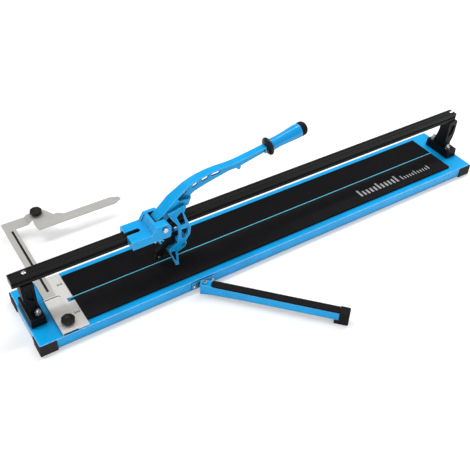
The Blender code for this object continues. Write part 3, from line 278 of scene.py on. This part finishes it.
def plated(name, colour, rough):
    """Zinc plate on turned and forged steel: cloudy, with small dents and bright edges."""
    g = Graph(name)
    cloud = g.ranged(g.noise(260.0, 4.0, 0.6), 0.35, 0.68, 0.0, 1.0)
    base = g.mixed(cloud, shaded(colour, 0.72), shaded(colour, 1.05))
    tint = g.ranged(g.noise(120.0, 2.0), 0.5, 0.7, 0.0, 0.35)
    base = g.mixed(tint, base, linear(196, 188, 160))
    edge = g.maths("MULTIPLY", g.edges(0.0006), 0.8)
    g.link(g.mixed(edge, base, linear(238, 240, 244)), "Base Color")
    g.link(g.ranged(cloud, 0.0, 1.0, rough - 0.06, rough + 0.12), "Roughness")
    g.link(g.bumped(g.noise(700.0, 2.0), 0.12, 0.0004), "Normal")
    return g.finished({"Metallic": 1.0})


def plastic(name, colour, rough, coat=0.0):
    """Moulded plastic: a spark-eroded texture, flow marks and rubbed edges."""
    g = Graph(name)
    flow = g.ranged(g.noise(28.0, 3.0), 0.3, 0.7, 0.0, 1.0)
    base = g.mixed(flow, shaded(colour, 0.85), shaded(colour, 1.15))
    edge = g.maths("MULTIPLY", g.edges(0.0010), 0.35)
    g.link(g.mixed(edge, base, shaded(colour, 2.6)), "Base Color")
    g.link(g.ranged(g.noise(80.0), 0.3, 0.7, rough - 0.06, rough + 0.08), "Roughness")
    g.link(g.bumped(g.noise(1100.0, 2.0), 0.12, 0.0003), "Normal")
    gloss = {"Specular IOR Level": 0.18, "Coat Weight": coat, "Coat IOR": 1.3, "Coat Roughness": 0.08}
    return g.finished(gloss)


BLUE = linear(0, 164, 232)
GRIP_BLUE = linear(0, 158, 230)
RIDGE_BLUE = linear(92, 216, 242)
# The last colour given to each painted finish below is a painted highlight along its edges.
FINISHES = {
    "blue_paint": painted("blue_paint_finish", BLUE, 0.28, 0.3, linear(150, 215, 248)),
    "gloss_blue_plastic": painted("gloss_blue_finish", GRIP_BLUE, 0.12, 1.0, linear(90, 195, 245), 0.02),
    "black_rubber": rubber("black_rubber_finish", linear(27, 26, 27), 0.74, 800.0, 0.35, 0.25),
    "black_cast": cast("black_cast_finish", linear(9, 9, 10), 0.45),
    "black_anodised": anodised("black_anodised_finish", linear(29, 28, 28), 0.36),
    "black_plastic": plastic("black_plastic_finish", linear(20, 20, 21), 0.32, 0.3),
    "steel_plate": brushed("steel_plate_finish", linear(220, 218, 214), 0.46, "Y", 0.3),
    "zinc": plated("zinc_finish", linear(214, 216, 219), 0.24),
    "ridge_blue": painted("ridge_blue_finish", RIDGE_BLUE, 0.36, 0.1, linear(160, 232, 246)),
    "white_nylon": plastic("white_nylon_finish", linear(215, 214, 208), 0.42),
    "carbide": plated("carbide_finish", linear(112, 114, 118), 0.3),
}
# The tray's edges take a near-white painted highlight, wider than on the other blue parts.
TRAY_FINISH = painted("tray_paint_finish", BLUE, 0.28, 0.3, linear(222, 240, 252), highlight_width=0.0036)
REAR_PAD_FINISH = rubber("rear_pad_finish", linear(14, 14, 16), 0.88, 620.0, 0.5, 0.25)
PAD_FINISH = rubber("bed_pad_finish", linear(25, 24, 26), 0.85, 620.0, 0.5, 0.3)
FOOT_FINISH = rubber("corner_foot_finish", linear(46, 45, 43), 0.7, 900.0, 0.3, 0.3)
# Painted shade: a near-black laid in the rail's grooves.
RAIL_GROOVE_SHADE_FINISH = anodised("rail_groove_shade_finish", linear(9, 10, 11), 0.6)
# Painted shade: a dark blue laid on the faces deep in the carriage's heel room and the breaker foot's
# trays.
HOLLOW_SHADE_FINISH = painted("hollow_shade_paint_finish", linear(0, 38, 62), 0.5, 0.0, linear(0, 60, 96))
# Painted shade: a dark brown laid in the fence arm's groove and along the cover plate's crease.
SLOT_SHADE_FINISH = plastic("slot_shade_finish", linear(38, 34, 28), 0.7)
PRINT_FINISH = plastic("print_finish", linear(172, 174, 178), 0.6)
STEEL_PRINT_FINISH = plastic("steel_print_finish", linear(48, 48, 50), 0.6)
BLADE_FINISH = brushed("fence_blade_finish", linear(192, 190, 187), 0.44, "X", 0.35)
# A painted highlight: the fold's bead is paler and glossier than the plate.
BEAD_HIGHLIGHT_FINISH = brushed("cover_plate_bead_highlight_finish", linear(238, 237, 234), 0.35, "X", 0.2)
ARM_FINISH = brushed("fence_arm_finish", linear(194, 192, 188), 0.44, "Y", 0.35)


# --- Shapes -----------------------------------------------------------------------------------------

SHARP = 34.0  # degrees between two faces from which their edge counts as sharp
FLAT = 0.6  # degrees between two faces up to which they count as one flat face
WELD = 0.02  # millimetres between two corners up to which they count as one


def body_of(node):
    return frame["nodes"][node]["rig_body"]


def new_object(name, mesh, finish):
    obj = bpy.data.objects.new(name, mesh)
    bpy.context.scene.collection.objects.link(obj)
    mesh.materials.clear()
    mesh.materials.append(finish)
    return obj


def mesh_of(bm, name):
    bmesh.ops.recalc_face_normals(bm, faces=bm.faces)
    mesh = bpy.data.meshes.new(name)
    bm.to_mesh(mesh)
    bm.free()
    return mesh


def smooth(obj, width=0.0, segments=2, angle=SHARP):
    """Rounds the sharp edges of an object by width millimetres, and shades the rest smoothly."""
    obj.data.shade_smooth()
    obj.data.set_sharp_from_angle(angle=math.radians(angle))
    if width:
        bevel = obj.modifiers.new("rounded_edges", "BEVEL")
        bevel.width = width * MM
        bevel.segments = segments
        bevel.limit_method = "ANGLE"
        bevel.angle_limit = math.radians(angle)
        bevel.use_clamp_overlap = True
        bevel.miter_outer = "MITER_ARC"
        weighted = obj.modifiers.new("even_shading", "WEIGHTED_NORMAL")
        weighted.keep_sharp = False
        weighted.weight = 80


def stands_for(obj, slot, *nodes):
    """Makes a finished piece ride with the nodes that it replaces."""
    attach(obj, body_of(nodes[0]))
    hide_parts(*nodes)


def second_finish(obj, finish, chosen):
    """Gives another finish to the faces whose middle, in millimetres off the tray's middle, is chosen."""
    obj.data.materials.append(finish)
    for face in obj.data.polygons:
        spot = (face.center - SHIFT) / MM
        if chosen(spot):
            face.material_index = 1


def refined(node, slot, width, segments=2, finish=None):
    """The solid of a node with its edges rounded by width millimetres, and a finished surface."""
    bm = bmesh.new()
    bm.from_mesh(frame["nodes"][node].data)
    bmesh.ops.remove_doubles(bm, verts=bm.verts, dist=WELD * MM)
    bmesh.ops.dissolve_limit(bm, angle_limit=math.radians(FLAT), verts=bm.verts, edges=bm.edges)
    obj = new_object(node + "_finished", mesh_of(bm, node + "_mesh"), finish or FINISHES[slot])
    smooth(obj, width, segments)
    stands_for(obj, slot, node)
    return obj


def turn_to(axis):
    """The rotation that takes the Z axis to another axis."""
    return Vector((0, 0, 1)).rotation_difference(Vector(axis).normalized()).to_matrix()


def lathed(name, profile, centre, finish, axis=(0, 0, 1), steps=48, lobes=0, depth=0.0):
    """A turned shape from (radius, height) in millimetres, with optional lobes round its rim.

    A profile entry may hold a third number, which says how much of the lobes' depth it takes.
    """
    bm = bmesh.new()
    turn = turn_to(axis)
    rings = []
    for radius, height, *rest in profile:
        share = rest[0] if rest else 0.0
        if radius == 0:
            rings.append([bm.verts.new(centre + turn @ Vector((0, 0, height * MM)))])
            continue
        ring = []
        for step in range(steps):
            angle = 2 * math.pi * step / steps
            pull = 1 - share * depth * (0.5 - 0.5 * math.cos(lobes * angle))
            reach = radius * pull * MM
            spot = Vector((reach * math.cos(angle), reach * math.sin(angle), height * MM))
            ring.append(bm.verts.new(centre + turn @ spot))
        rings.append(ring)
    for first, second in zip(rings, rings[1:]):
        for step in range(steps):
            after = (step + 1) % steps
            if len(first) == 1 and len(second) == 1:
                continue
            if len(first) == 1:
                bm.faces.new((first[0], second[step], second[after]))
            elif len(second) == 1:
                bm.faces.new((first[step], second[0], first[after]))
            else:
                bm.faces.new((first[step], second[step], second[after], first[after]))
    return new_object(name, mesh_of(bm, name), finish)


def extruded_along_x(name, outline, start, end, finish):
    """A bar in millimetres whose section is an outline of (y, z)."""
    bm = bmesh.new()
    near, far = [[bm.verts.new(at(x, y, z)) for y, z in outline] for x in (start, end)]
    count = len(outline)
    for index in range(count):
        after = (index + 1) % count
        bm.faces.new((near[index], near[after], far[after], far[index]))
    bm.faces.new(near[::-1])
    bm.faces.new(far)
    return new_object(name, mesh_of(bm, name), finish)


def merged(obj, *others):
    """Puts the meshes of other objects into obj."""
    bm = bmesh.new()
    bm.from_mesh(obj.data)
    for other in others:
        bm.from_mesh(other.data)
        bpy.data.objects.remove(other)
    bm.to_mesh(obj.data)
    bm.free()
    return obj


HEXAGON_STEPS = 36  # six for each side, so that the chamfered rim is round


def hexagonal(name, across, low, high, centre, axis=(0, 0, 1), hole=0.0, turned_by=0.0):
    """A chamfered zinc hexagon head or nut, in millimetres along its axis from centre."""
    bm = bmesh.new()
    turn = turn_to(axis)

    def ring_of(height, reach_at):
        ring = []
        for step in range(HEXAGON_STEPS):
            angle = 2 * math.pi * step / HEXAGON_STEPS
            reach = reach_at(angle) * MM
            along, aside = math.cos(angle + turned_by), math.sin(angle + turned_by)
            ring.append(bm.verts.new(centre + turn @ Vector((reach * along, reach * aside, height * MM))))
        return ring

    def rim(limit):
        """The hexagon's outline, cut back to a circle."""
        def reach_at(angle):
            within = (angle + math.pi / 6) % (math.pi / 3) - math.pi / 6
            return min((across / 2) / math.cos(within), limit)
        return reach_at

    corner, face_rim = across / math.sqrt(3), across / 2 * 0.985
    chamfer = 0.12 * across
    levels = [(low, face_rim), (low + chamfer * 0.3, corner)]
    levels += [(high - chamfer * 0.6, corner), (high, face_rim)]
    rings = [ring_of(height, rim(limit)) for height, limit in levels]
    if hole:
        rings += [ring_of(height, lambda angle: hole) for height in (high, low)]
        rings.append(rings[0])
    for first, second in zip(rings, rings[1:]):
        for step in range(HEXAGON_STEPS):
            after = (step + 1) % HEXAGON_STEPS
            bm.faces.new((first[step], second[step], second[after], first[after]))
    if not hole:
        bm.faces.new(rings[0][::-1])
        bm.faces.new(rings[-1])
    return new_object(name, mesh_of(bm, name), FINISHES["zinc"])


def thread_profile(radius, low, high, pitch=1.25):
    """A turned profile with the ridges of a screw thread, closed at both ends."""
    profile = [(0, low), (radius - 0.5, low)]
    height = low + 0.4
    while height + pitch < high - 0.6:
        profile += [(radius, height + pitch * 0.25), (radius - 0.55, height + pitch * 0.75)]
        height += pitch
    return profile + [(radius - 0.7, high), (0, high)]


# --- Tray, feet, pads and ridge ---------------------------------------------------------------------


def make_base():
    refined("base_tray", "blue_paint", 2.0, segments=4, finish=TRAY_FINISH)
    for corner in ("front_left", "front_right", "rear_left", "rear_right"):
        refined(corner + "_foot", "black_rubber", 1.6, segments=3, finish=FOOT_FINISH)
    refined("front_pad", "black_rubber", 1.1, segments=3, finish=PAD_FINISH)
    refined("rear_pad", "black_rubber", 1.1, segments=3, finish=REAR_PAD_FINISH)
    refined("breaking_ridge", "ridge_blue", 0.0)


# --- Rail and its stands ----------------------------------------------------------------------------

RAIL_LOW, RAIL_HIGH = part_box("rail")
RAIL_HALF = (RAIL_HIGH.y - RAIL_LOW.y) / 2 / MM
RAIL_TOP = RAIL_HIGH.z / MM
RAIL_BOTTOM = RAIL_LOW.z / MM
TRACK = middle("guide_roller_1").z / MM
TRACK_DEPTH, TRACK_HALF = 2.0, 4.4
LINE_DEPTH, LINE_OUTER, LINE_INNER = 1.2, 7.6, 5.4
CUT = 0.3  # how much a groove narrows from its mouth to its floor, on each side


def rail_outline():
    """The rail's section: two lines along its top, and the rollers' track with a lip line below it."""
    w, top, low = RAIL_HALF, RAIL_TOP, RAIL_BOTTOM
    right = [(w - 1.5, low), (w - 0.5, low + 0.4), (w, low + 1.4), (w, low + 4.0)]
    right += [(w - 0.8, low + 4.4), (w - 0.8, low + 5.2), (w, low + 5.6), (w, TRACK - TRACK_HALF)]
    right += [(w - TRACK_DEPTH, TRACK - TRACK_HALF + 1), (w - TRACK_DEPTH, TRACK + TRACK_HALF - 1)]
    right += [(w, TRACK + TRACK_HALF), (w, top - 1.8), (w - 0.6, top - 0.5), (w - 1.9, top)]
    right += [(LINE_OUTER, top), (LINE_OUTER - CUT, top - LINE_DEPTH)]
    right += [(LINE_INNER + CUT, top - LINE_DEPTH), (LINE_INNER, top)]
    return right + [(-y, z) for y, z in reversed(right)]


def in_rail_groove(spot):
    in_track = abs(spot.z - TRACK) < TRACK_HALF - 0.1 and abs(spot.y) < RAIL_HALF - 0.2
    in_line = RAIL_TOP - 2 < spot.z < RAIL_TOP - 0.4 and abs(spot.y) < LINE_OUTER + 0.4
    return in_track or in_line


RAIL_SCREW_HEAD = 2.4  # its height above the rail


def make_rail():
    start, end = (RAIL_LOW - SHIFT).x / MM, (RAIL_HIGH - SHIFT).x / MM
    rail = extruded_along_x("rail_finished", rail_outline(), start, end, FINISHES["black_anodised"])
    # Painted shade in the rail's grooves.
    second_finish(rail, RAIL_GROOVE_SHADE_FINISH, in_rail_groove)
    smooth(rail, width=0.3, segments=1, angle=20.0)
    stands_for(rail, "black_anodised", "rail")
    for side in ("left", "right"):
        refined(side + "_rail_cap", "black_plastic", 0.6)
        refined(side + "_rail_bracket", "black_cast", 1.0)
        node = side + "_rail_screw"
        seat = on_axis(node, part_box(node)[1].z - RAIL_SCREW_HEAD * MM)
        head = [(0, -0.1), (2.2, -0.1), (2.4, 1.9), (2.9, 2.35), (4.0, 2.1), (5.2, 1.5), (5.9, 0.8)]
        head += [(6.0, 0.0), (2.6, 0.0), (2.6, -6.0), (0, -6.0)]
        screw = lathed(node + "_finished", head, seat, FINISHES["zinc"])
        smooth(screw)
        stands_for(screw, "zinc", node)


NUT_ACROSS = 13.0
STUD_RADIUS = 4.0


def make_bracket_fasteners():
    """The studs that hold the rail brackets, each with a nut and a washer above and a nut below."""
    for number in (1, 2, 3, 4):
        bolt_node, washer_node = f"bracket_bolt_{number}", f"bracket_washer_{number}"
        low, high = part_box(bolt_node)
        washer_low, washer_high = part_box(washer_node)
        foot = on_axis(bolt_node, washer_high.z)
        top, bottom = (high.z - foot.z) / MM, (low.z - foot.z) / MM
        upper_nut = hexagonal(bolt_node + "_finished", NUT_ACROSS, 0.3, 6.8, foot, turned_by=0.5 * number)
        stud = lathed("stud", thread_profile(STUD_RADIUS, 6.0, top), foot, FINISHES["zinc"], steps=28)
        shank = [(0, bottom), (3.6, bottom), (STUD_RADIUS, bottom + 0.6), (STUD_RADIUS, 1.0), (0, 1.0)]
        bolt = merged(upper_nut, stud, lathed("shank", shank, foot, FINISHES["zinc"], steps=28))
        smooth(bolt)
        stands_for(bolt, "zinc", bolt_node)
        ring = [(4.4, 0.0), (7.2, 0.0), (7.5, 0.3), (7.5, 1.3), (7.1, 1.6), (4.8, 1.6), (4.4, 1.3)]
        ring.append(ring[0])
        seat = Vector((foot.x, foot.y, washer_low.z))
        washer = lathed(washer_node + "_finished", ring, seat, FINISHES["zinc"], steps=40)
        smooth(washer)
        stands_for(washer, "zinc", washer_node)
        nut_node = f"bracket_nut_{number}"
        low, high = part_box(nut_node)
        height = (high.z - low.z) / MM
        nut = hexagonal(nut_node + "_finished", NUT_ACROSS, 0.0, height, on_axis(nut_node, low.z), hole=4.3)
        smooth(nut)
        stands_for(nut, "zinc", nut_node)


# --- Carriage, lever and wheel ----------------------------------------------------------------------

HEEL_ROOM_FRONT, HEEL_ROOM_REAR = -24.7, 17.8
HEEL_ROOM_LEFT, HEEL_ROOM_FLOOR = -353, 177
FOOT_SLOPE = 0.33
FOOT_TIP_Y, FOOT_TIP_Z = 48, 59.5
FOOT_TRAY_INNER, FOOT_TRAY_OUTER = 16, 43
FOOT_TRAY_LEFT, FOOT_TRAY_RIGHT = -310.5, -296
FOOT_TRAY_FLOOR, FOOT_TRAY_RIM = 1.5, 6.5  # above the foot's sloping underside


def in_heel_room(spot):
    across = HEEL_ROOM_FRONT < spot.y < HEEL_ROOM_REAR
    return across and spot.x > HEEL_ROOM_LEFT and spot.z > HEEL_ROOM_FLOOR


def in_foot_tray(spot):
    height = spot.z - FOOT_TIP_Z - FOOT_SLOPE * (FOOT_TIP_Y - abs(spot.y))
    across = FOOT_TRAY_INNER < abs(spot.y) < FOOT_TRAY_OUTER
    along = FOOT_TRAY_LEFT < spot.x < FOOT_TRAY_RIGHT
    return across and along and FOOT_TRAY_FLOOR < height < FOOT_TRAY_RIM


PIVOT_HEAD_ACROSS, PIVOT_HEAD = 12.6, 5.5


def make_pivot_bolt():
    low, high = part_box("lever_pivot_bolt")
    centre = middle("lever_pivot_bolt")
    face = Vector((centre.x, low.y, centre.z))
    length = (high.y - low.y) / MM
    seat = face + Vector((0, PIVOT_HEAD * MM, 0))
    name = "lever_pivot_bolt_finished"
    head = hexagonal(name, PIVOT_HEAD_ACROSS, 0.0, PIVOT_HEAD, seat, axis=(0, -1, 0), turned_by=0.3)
    profile = [(0, 5.0), (4.0, 5.0), (4.0, length - 1.0), (3.4, length), (0, length)]
    shank = lathed("shank", profile, face, FINISHES["zinc"], axis=(0, 1, 0), steps=28)
    pivot_bolt = merged(head, shank)
    smooth(pivot_bolt)
    stands_for(pivot_bolt, "zinc", "lever_pivot_bolt")


def make_carriage_and_lever():
    carriage = refined("carriage_body", "blue_paint", 1.3, segments=3)
    # Painted shade on the faces deep in the heel room.
    second_finish(carriage, HOLLOW_SHADE_FINISH, in_heel_room)
    refined("lever", "blue_paint", 0.9)
    breaker = refined("breaker_foot", "blue_paint", 0.7)
    # Painted shade on the floors of the foot's trays.
    second_finish(breaker, HOLLOW_SHADE_FINISH, in_foot_tray)
    refined("wheel_holder", "black_cast", 0.6)
    refined("scoring_wheel", "carbide", 0.0)
    refined("foot_pin", "zinc", 0.4)
    refined("wheel_axle", "zinc", 0.3)
    refined("rear_slide_pad", "white_nylon", 0.5)
    make_pivot_bolt()
    refined("lever_pivot_nut", "zinc", 0.5)
    for number in (1, 2):
        refined(f"guide_roller_{number}", "zinc", 0.0)
        refined(f"roller_axle_{number}", "zinc", 0.4)
    refined("roller_lock_screw", "zinc", 0.4)


# --- Handle -----------------------------------------------------------------------------------------

SLOPE = math.radians(10.5)
GRIP_AXIS = Vector((math.cos(SLOPE), 0, math.sin(SLOPE)))
COLLAR = at(-12, 0, 291.5)
BORE = 7.3


def turned_on_grip(node, slot, outline):
    """A piece turned about the grip's axis from (height, radius), measured from the collar."""
    profile = [(radius, height) for height, radius in outline]
    obj = lathed(node + "_finished", profile, COLLAR, FINISHES[slot], axis=GRIP_AXIS, steps=64)
    smooth(obj)
    stands_for(obj, slot, node)


def make_handle():
    swell = [(97.0, BORE), (97.0, 18.4), (95.5, 18.75), (93, 18.9), (88.5, 18.95), (84, 18.8), (78, 18.45)]
    swell += [(72, 18), (65, 17.5), (58, 17), (51, 16.5), (44, 16.1), (38, 15.8), (32, 15.6), (26, 15.6)]
    swell += [(20, 15.7), (15, 16.0), (11, 16.3), (8.6, 16.3), (7.4, 15.8), (7.4, BORE), (97.0, BORE)]
    turned_on_grip("grip", "gloss_blue_plastic", swell)
    flare = [(7.0, BORE), (7.0, 14.5), (6.6, 16.3), (5.6, 19.6), (4.3, 22.2), (2.4, 23.9), (0, 24.4)]
    flare += [(-2.2, 24.0), (-4, 22.7), (-5.6, 20.2), (-6.8, 17.6), (-7.8, 16.4), (-8.5, 15.2)]
    flare += [(-8.5, BORE), (7.0, BORE)]
    turned_on_grip("grip_collar", "black_plastic", flare)
    dome = [(119.5, 0), (119.3, 3.4), (118.7, 7), (117.6, 10.4), (115.8, 13.6), (113.3, 16.2)]
    dome += [(110.3, 18.0), (106.8, 19.0), (103, 19.2), (99.6, 19.2), (98.2, 18.9), (97.4, 18.2)]
    dome += [(97.4, 6.4), (84, 6.4), (84, 0)]
    turned_on_grip("grip_end_cap", "black_rubber", dome)


# --- Side fence -------------------------------------------------------------------------------------

PLATE_TOP = top_of("fence_cover_plate")
ARM_TOP = PLATE_TOP - 2.8
ARM_GROOVE_X, ARM_GROOVE_HALF = -619.5, 3.3
ARM_GROOVE_FRONT, ARM_GROOVE_REAR = 46, 315
ARM_GROOVE_DEPTH = 2.6


def in_arm_groove(spot):
    across = abs(spot.x - ARM_GROOVE_X) < ARM_GROOVE_HALF
    along = ARM_GROOVE_FRONT < spot.y < ARM_GROOVE_REAR
    return across and along and ARM_TOP - ARM_GROOVE_DEPTH < spot.z < ARM_TOP - 0.3


def make_knob(node):
    """A lobed clamp knob with a hub below its head and a stem."""
    low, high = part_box(node)
    stem = (low.z - high.z) / MM
    rim = [(0, -2.2), (4.2, -2.2), (5.4, -1.4), (6.6, -1.1), (10.5, -0.9, 0.3), (13.4, -0.2, 0.6)]
    rim += [(14.8, 0.0, 0.8), (15.9, -0.4, 1), (16.7, -1.4, 1), (17, -2.8, 1), (17, -8.0, 1)]
    rim += [(16.6, -9.6, 1), (15.6, -10.5, 1), (13.8, -10.8, 0.8), (9.2, -10.8), (9.0, -13.2)]
    rim += [(8.4, -13.7), (3.0, -13.7), (3.0, stem + 0.4), (2.6, stem), (0, stem)]
    finish = FINISHES["black_plastic"]
    knob = lathed(node + "_finished", rim, on_axis(node, high.z), finish, steps=96, lobes=8, depth=0.055)
    smooth(knob, angle=50.0)
    stands_for(knob, "black_plastic", node)


def make_fence():
    fence_arm = refined("fence_arm", "steel_plate", 0.35, finish=ARM_FINISH)
    # Painted shade in the arm's groove.
    second_finish(fence_arm, SLOT_SHADE_FINISH, in_arm_groove)
    refined("fence_cover_plate", "steel_plate", 0.5)
    refined("fence_blade", "steel_plate", 0.4, finish=BLADE_FINISH)
    make_knob("cover_plate_knob")
    make_knob("fence_knob")


# --- Support arm ------------------------------------------------------------------------------------


def make_support_arm():
    refined("support_bracket", "blue_paint", 0.6)
    refined("support_arm", "blue_paint", 0.5)
    refined("support_arm_strip", "black_rubber", 0.7, finish=PAD_FINISH)
    refined("support_arm_end_cap", "black_rubber", 1.0)
    refined("support_pivot_bolt", "zinc", 0.5)
    for number in (1, 2):
        node = f"support_bracket_screw_{number}"
        low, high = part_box(node)
        centre = middle(node)
        face = Vector((centre.x, low.y, centre.z))
        reach = (high.y - low.y) / MM
        head = [(0, 1.3), (1.5, 1.3), (1.7, 0.1), (2.4, 0.0), (3.6, 0.4), (4.7, 1.5), (5.0, 2.7)]
        head += [(5.0, 3.0), (2.5, 3.0), (2.5, reach), (0, reach)]
        screw = lathed(node + "_finished", head, face, FINISHES["zinc"], axis=(0, 1, 0), steps=32)
        smooth(screw)
        stands_for(screw, "zinc", node)


# --- Plain printed marks ----------------------------------------------------------------------------

PRINT_ROOT, PRINT_RISE = -0.3, 0.12  # the print's lower and upper faces, from the printed surface


def printed(name, bars, top, body, finish):
    """Thin bars of print: each is (x, y, length, width), in millimetres."""
    bm = bmesh.new()
    for x, y, long, wide in bars:
        corners = []
        for level in (PRINT_ROOT, PRINT_RISE):
            for across, along in ((-1, -1), (1, -1), (1, 1), (-1, 1)):
                spot = at(x + across * long / 2, y + along * wide / 2, top + level)
                corners.append(bm.verts.new(spot))
        for quad in ((3, 2, 1, 0), (4, 5, 6, 7), (0, 1, 5, 4), (1, 2, 6, 5), (2, 3, 7, 6), (3, 0, 4, 7)):
            bm.faces.new([corners[index] for index in quad])
    obj = new_object(name, mesh_of(bm, name), finish)
    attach(obj, body)


PAD_BASELINE = -58.5
PAD_SCALE_STEPS, PAD_SCALE_MAJOR = 11, 5  # bars in a scale, and how often a taller one comes


def pad_scale(left, pitch, width, tall, short):
    """The bars of a scale that stand on the pad's baseline."""
    bars = []
    for step in range(PAD_SCALE_STEPS):
        height = short if step % PAD_SCALE_MAJOR else tall
        bars.append((left + pitch * step, PAD_BASELINE + height / 2, width, height))
    return bars


PLATE_RISE = 2.3  # the cover plate's flat top over the tray


def make_marks():
    pad_bars = pad_scale(left=301, pitch=14, width=6.5, tall=28, short=19)
    pad_bars += pad_scale(left=461, pitch=10.6, width=3.4, tall=18, short=11)
    printed("front_pad_marks", pad_bars, top_of("front_pad"), "base", PRINT_FINISH)
    plate_bars = []
    for centre_x, centre_y in ((-586, 60), (-584.5, -47)):
        for step in range(4):
            height = 5 if step % 3 else 7.5
            plate_bars.append((centre_x - 5 + 3.4 * step, centre_y, 1.9, height))
    plate_top = top_of("base_tray") + PLATE_RISE
    printed("cover_plate_marks", plate_bars, plate_top, "base", STEEL_PRINT_FINISH)


# --- The cover plate's fold -------------------------------------------------------------------------

FOLD_Y = 26
FOLD_LEFT, FOLD_RIGHT, FOLD_TURN = -639.6, -605, 4


def fold_line(y, z):
    """The path of the plate's rear fold, which turns back at its right end."""
    points = [(FOLD_LEFT, y, z)]
    for angle in (0.0, 0.5, 1.0, 1.5):
        points.append((FOLD_RIGHT + FOLD_TURN * math.sin(angle), y - FOLD_TURN * (1 - math.cos(angle)), z))
    return points


def bead(name, points, radius, body, finish):
    """A thin raised bead along a path in millimetres."""
    curve = bpy.data.curves.new(name, "CURVE")
    curve.dimensions = "3D"
    curve.bevel_depth = radius * MM
    curve.bevel_resolution = 3
    curve.use_fill_caps = True
    spline = curve.splines.new("POLY")
    spline.points.add(len(points) - 1)
    for point, spot in zip(spline.points, points):
        point.co = (*at(*spot), 1.0)
    obj = bpy.data.objects.new(name, curve)
    bpy.context.scene.collection.objects.link(obj)
    curve.materials.append(finish)
    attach(obj, body)


def make_fold():
    """The fold's bead is finished brighter than the plate as a painted highlight, and a dark bead in front
    of it is a painted shadow in the crease.
    """
    bright = fold_line(FOLD_Y - 1.6, PLATE_TOP - 0.4)
    dark = fold_line(FOLD_Y - 4.2, PLATE_TOP - 0.7)
    bead("cover_plate_bead", bright, 1.5, "base", BEAD_HIGHLIGHT_FINISH)
    # Painted shadow: a dark bead in the crease in front of the fold.
    bead("cover_plate_crease_shadow", dark, 1.3, "base", SLOT_SHADE_FINISH)


# --- Floor, light and camera ------------------------------------------------------------------------

FLOOR_REACH = 30.0
FLOOR_LEVEL = -0.0004  # just under the feet
FLOOR_GLOW = 0.3
WALL_LIGHT, WALL_BRIGHTNESS = 0.4, 0.9


def make_floor():
    bm = bmesh.new()
    corners = ((-1, -1), (1, -1), (1, 1), (-1, 1))
    bm.faces.new([bm.verts.new((x * FLOOR_REACH, y * FLOOR_REACH, FLOOR_LEVEL)) for x, y in corners])
    g = Graph("floor_finish")
    clouds = g.ranged(g.noise(3.0), 0.3, 0.7, 0.0, 1.0)
    g.link(g.mixed(clouds, (0.74, 0.74, 0.742, 1), (0.77, 0.77, 0.77, 1)), "Base Color")
    glow = {"Emission Color": (1.0, 1.0, 1.0, 1.0), "Emission Strength": FLOOR_GLOW}
    finish = g.finished({"Roughness": 0.9, **glow})
    floor = new_object("studio_floor", mesh_of(bm, "studio_floor"), finish)


def make_sun(name, azimuth, height, spread, strength):
    """A broad distant light; azimuth 0 shines from the right and 90 from the back, in degrees."""
    light = bpy.data.lights.new(name, "SUN")
    light.angle = math.radians(spread)
    light.energy = strength
    obj = bpy.data.objects.new(name, light)
    bpy.context.scene.collection.objects.link(obj)
    turn, lift = math.radians(azimuth), math.radians(height)
    towards = Vector((math.cos(turn) * math.cos(lift), math.sin(turn) * math.cos(lift), math.sin(lift)))
    obj.rotation_euler = towards.to_track_quat("Z", "Y").to_euler()


def make_strip(name, spot, aim, size, power):
    """A long narrow softbox whose long side runs along X, so that long rounded edges catch a streak."""
    light = bpy.data.lights.new(name, "AREA")
    light.shape = "RECTANGLE"
    light.size, light.size_y = size
    light.energy = power
    obj = bpy.data.objects.new(name, light)
    bpy.context.scene.collection.objects.link(obj)
    obj.location = spot
    back = (Vector(spot) - Vector(aim)).normalized()
    across = Vector((1, 0, 0)) - back * back.x
    across.normalize()
    obj.rotation_euler = Matrix((across, back.cross(across), back)).transposed().to_euler()


def make_world():
    """A studio whose walls look as pale as the floor, but light the object softly."""
    world = bpy.data.worlds.new("studio")
    world.use_nodes = True
    tree = world.node_tree
    background = tree.nodes["Background"]
    background.inputs["Color"].default_value = (1.0, 1.0, 1.0, 1.0)
    seen = tree.nodes.new("ShaderNodeLightPath").outputs["Is Camera Ray"]
    strength = tree.nodes.new("ShaderNodeMapRange")
    strength.inputs["To Min"].default_value = WALL_LIGHT
    strength.inputs["To Max"].default_value = WALL_BRIGHTNESS
    tree.links.new(seen, strength.inputs["Value"])
    tree.links.new(strength.outputs["Result"], background.inputs["Strength"])
    bpy.context.scene.world = world
    bpy.context.scene.view_settings.view_transform = "Standard"


CAMERA_SPOT = (-903.948, -1194.397, 1325.042)
CAMERA_TURN = (0.836805, -0.027868, -0.565686)


def make_camera():
    data = bpy.data.cameras.new("camera")
    data.lens = 54.08
    data.sensor_width = 36.0
    data.clip_end = 50.0
    camera = bpy.data.objects.new("camera", data)
    bpy.context.scene.collection.objects.link(camera)
    camera.location = at(*CAMERA_SPOT)
    camera.rotation_euler = CAMERA_TURN
    bpy.context.scene.camera = camera


make_base()
make_rail()
make_bracket_fasteners()
make_carriage_and_lever()
make_handle()
make_fence()
make_support_arm()
make_marks()
make_fold()
make_floor()
make_world()
make_sun("key", azimuth=125, height=60, spread=22, strength=1.0)
make_sun("front", azimuth=240, height=45, spread=30, strength=0.68)
make_strip("overhead", spot=(1.7, 0.55, 2.6), aim=(0.4, 0.0, 0.1), size=(4.6, 0.32), power=64)
make_camera()
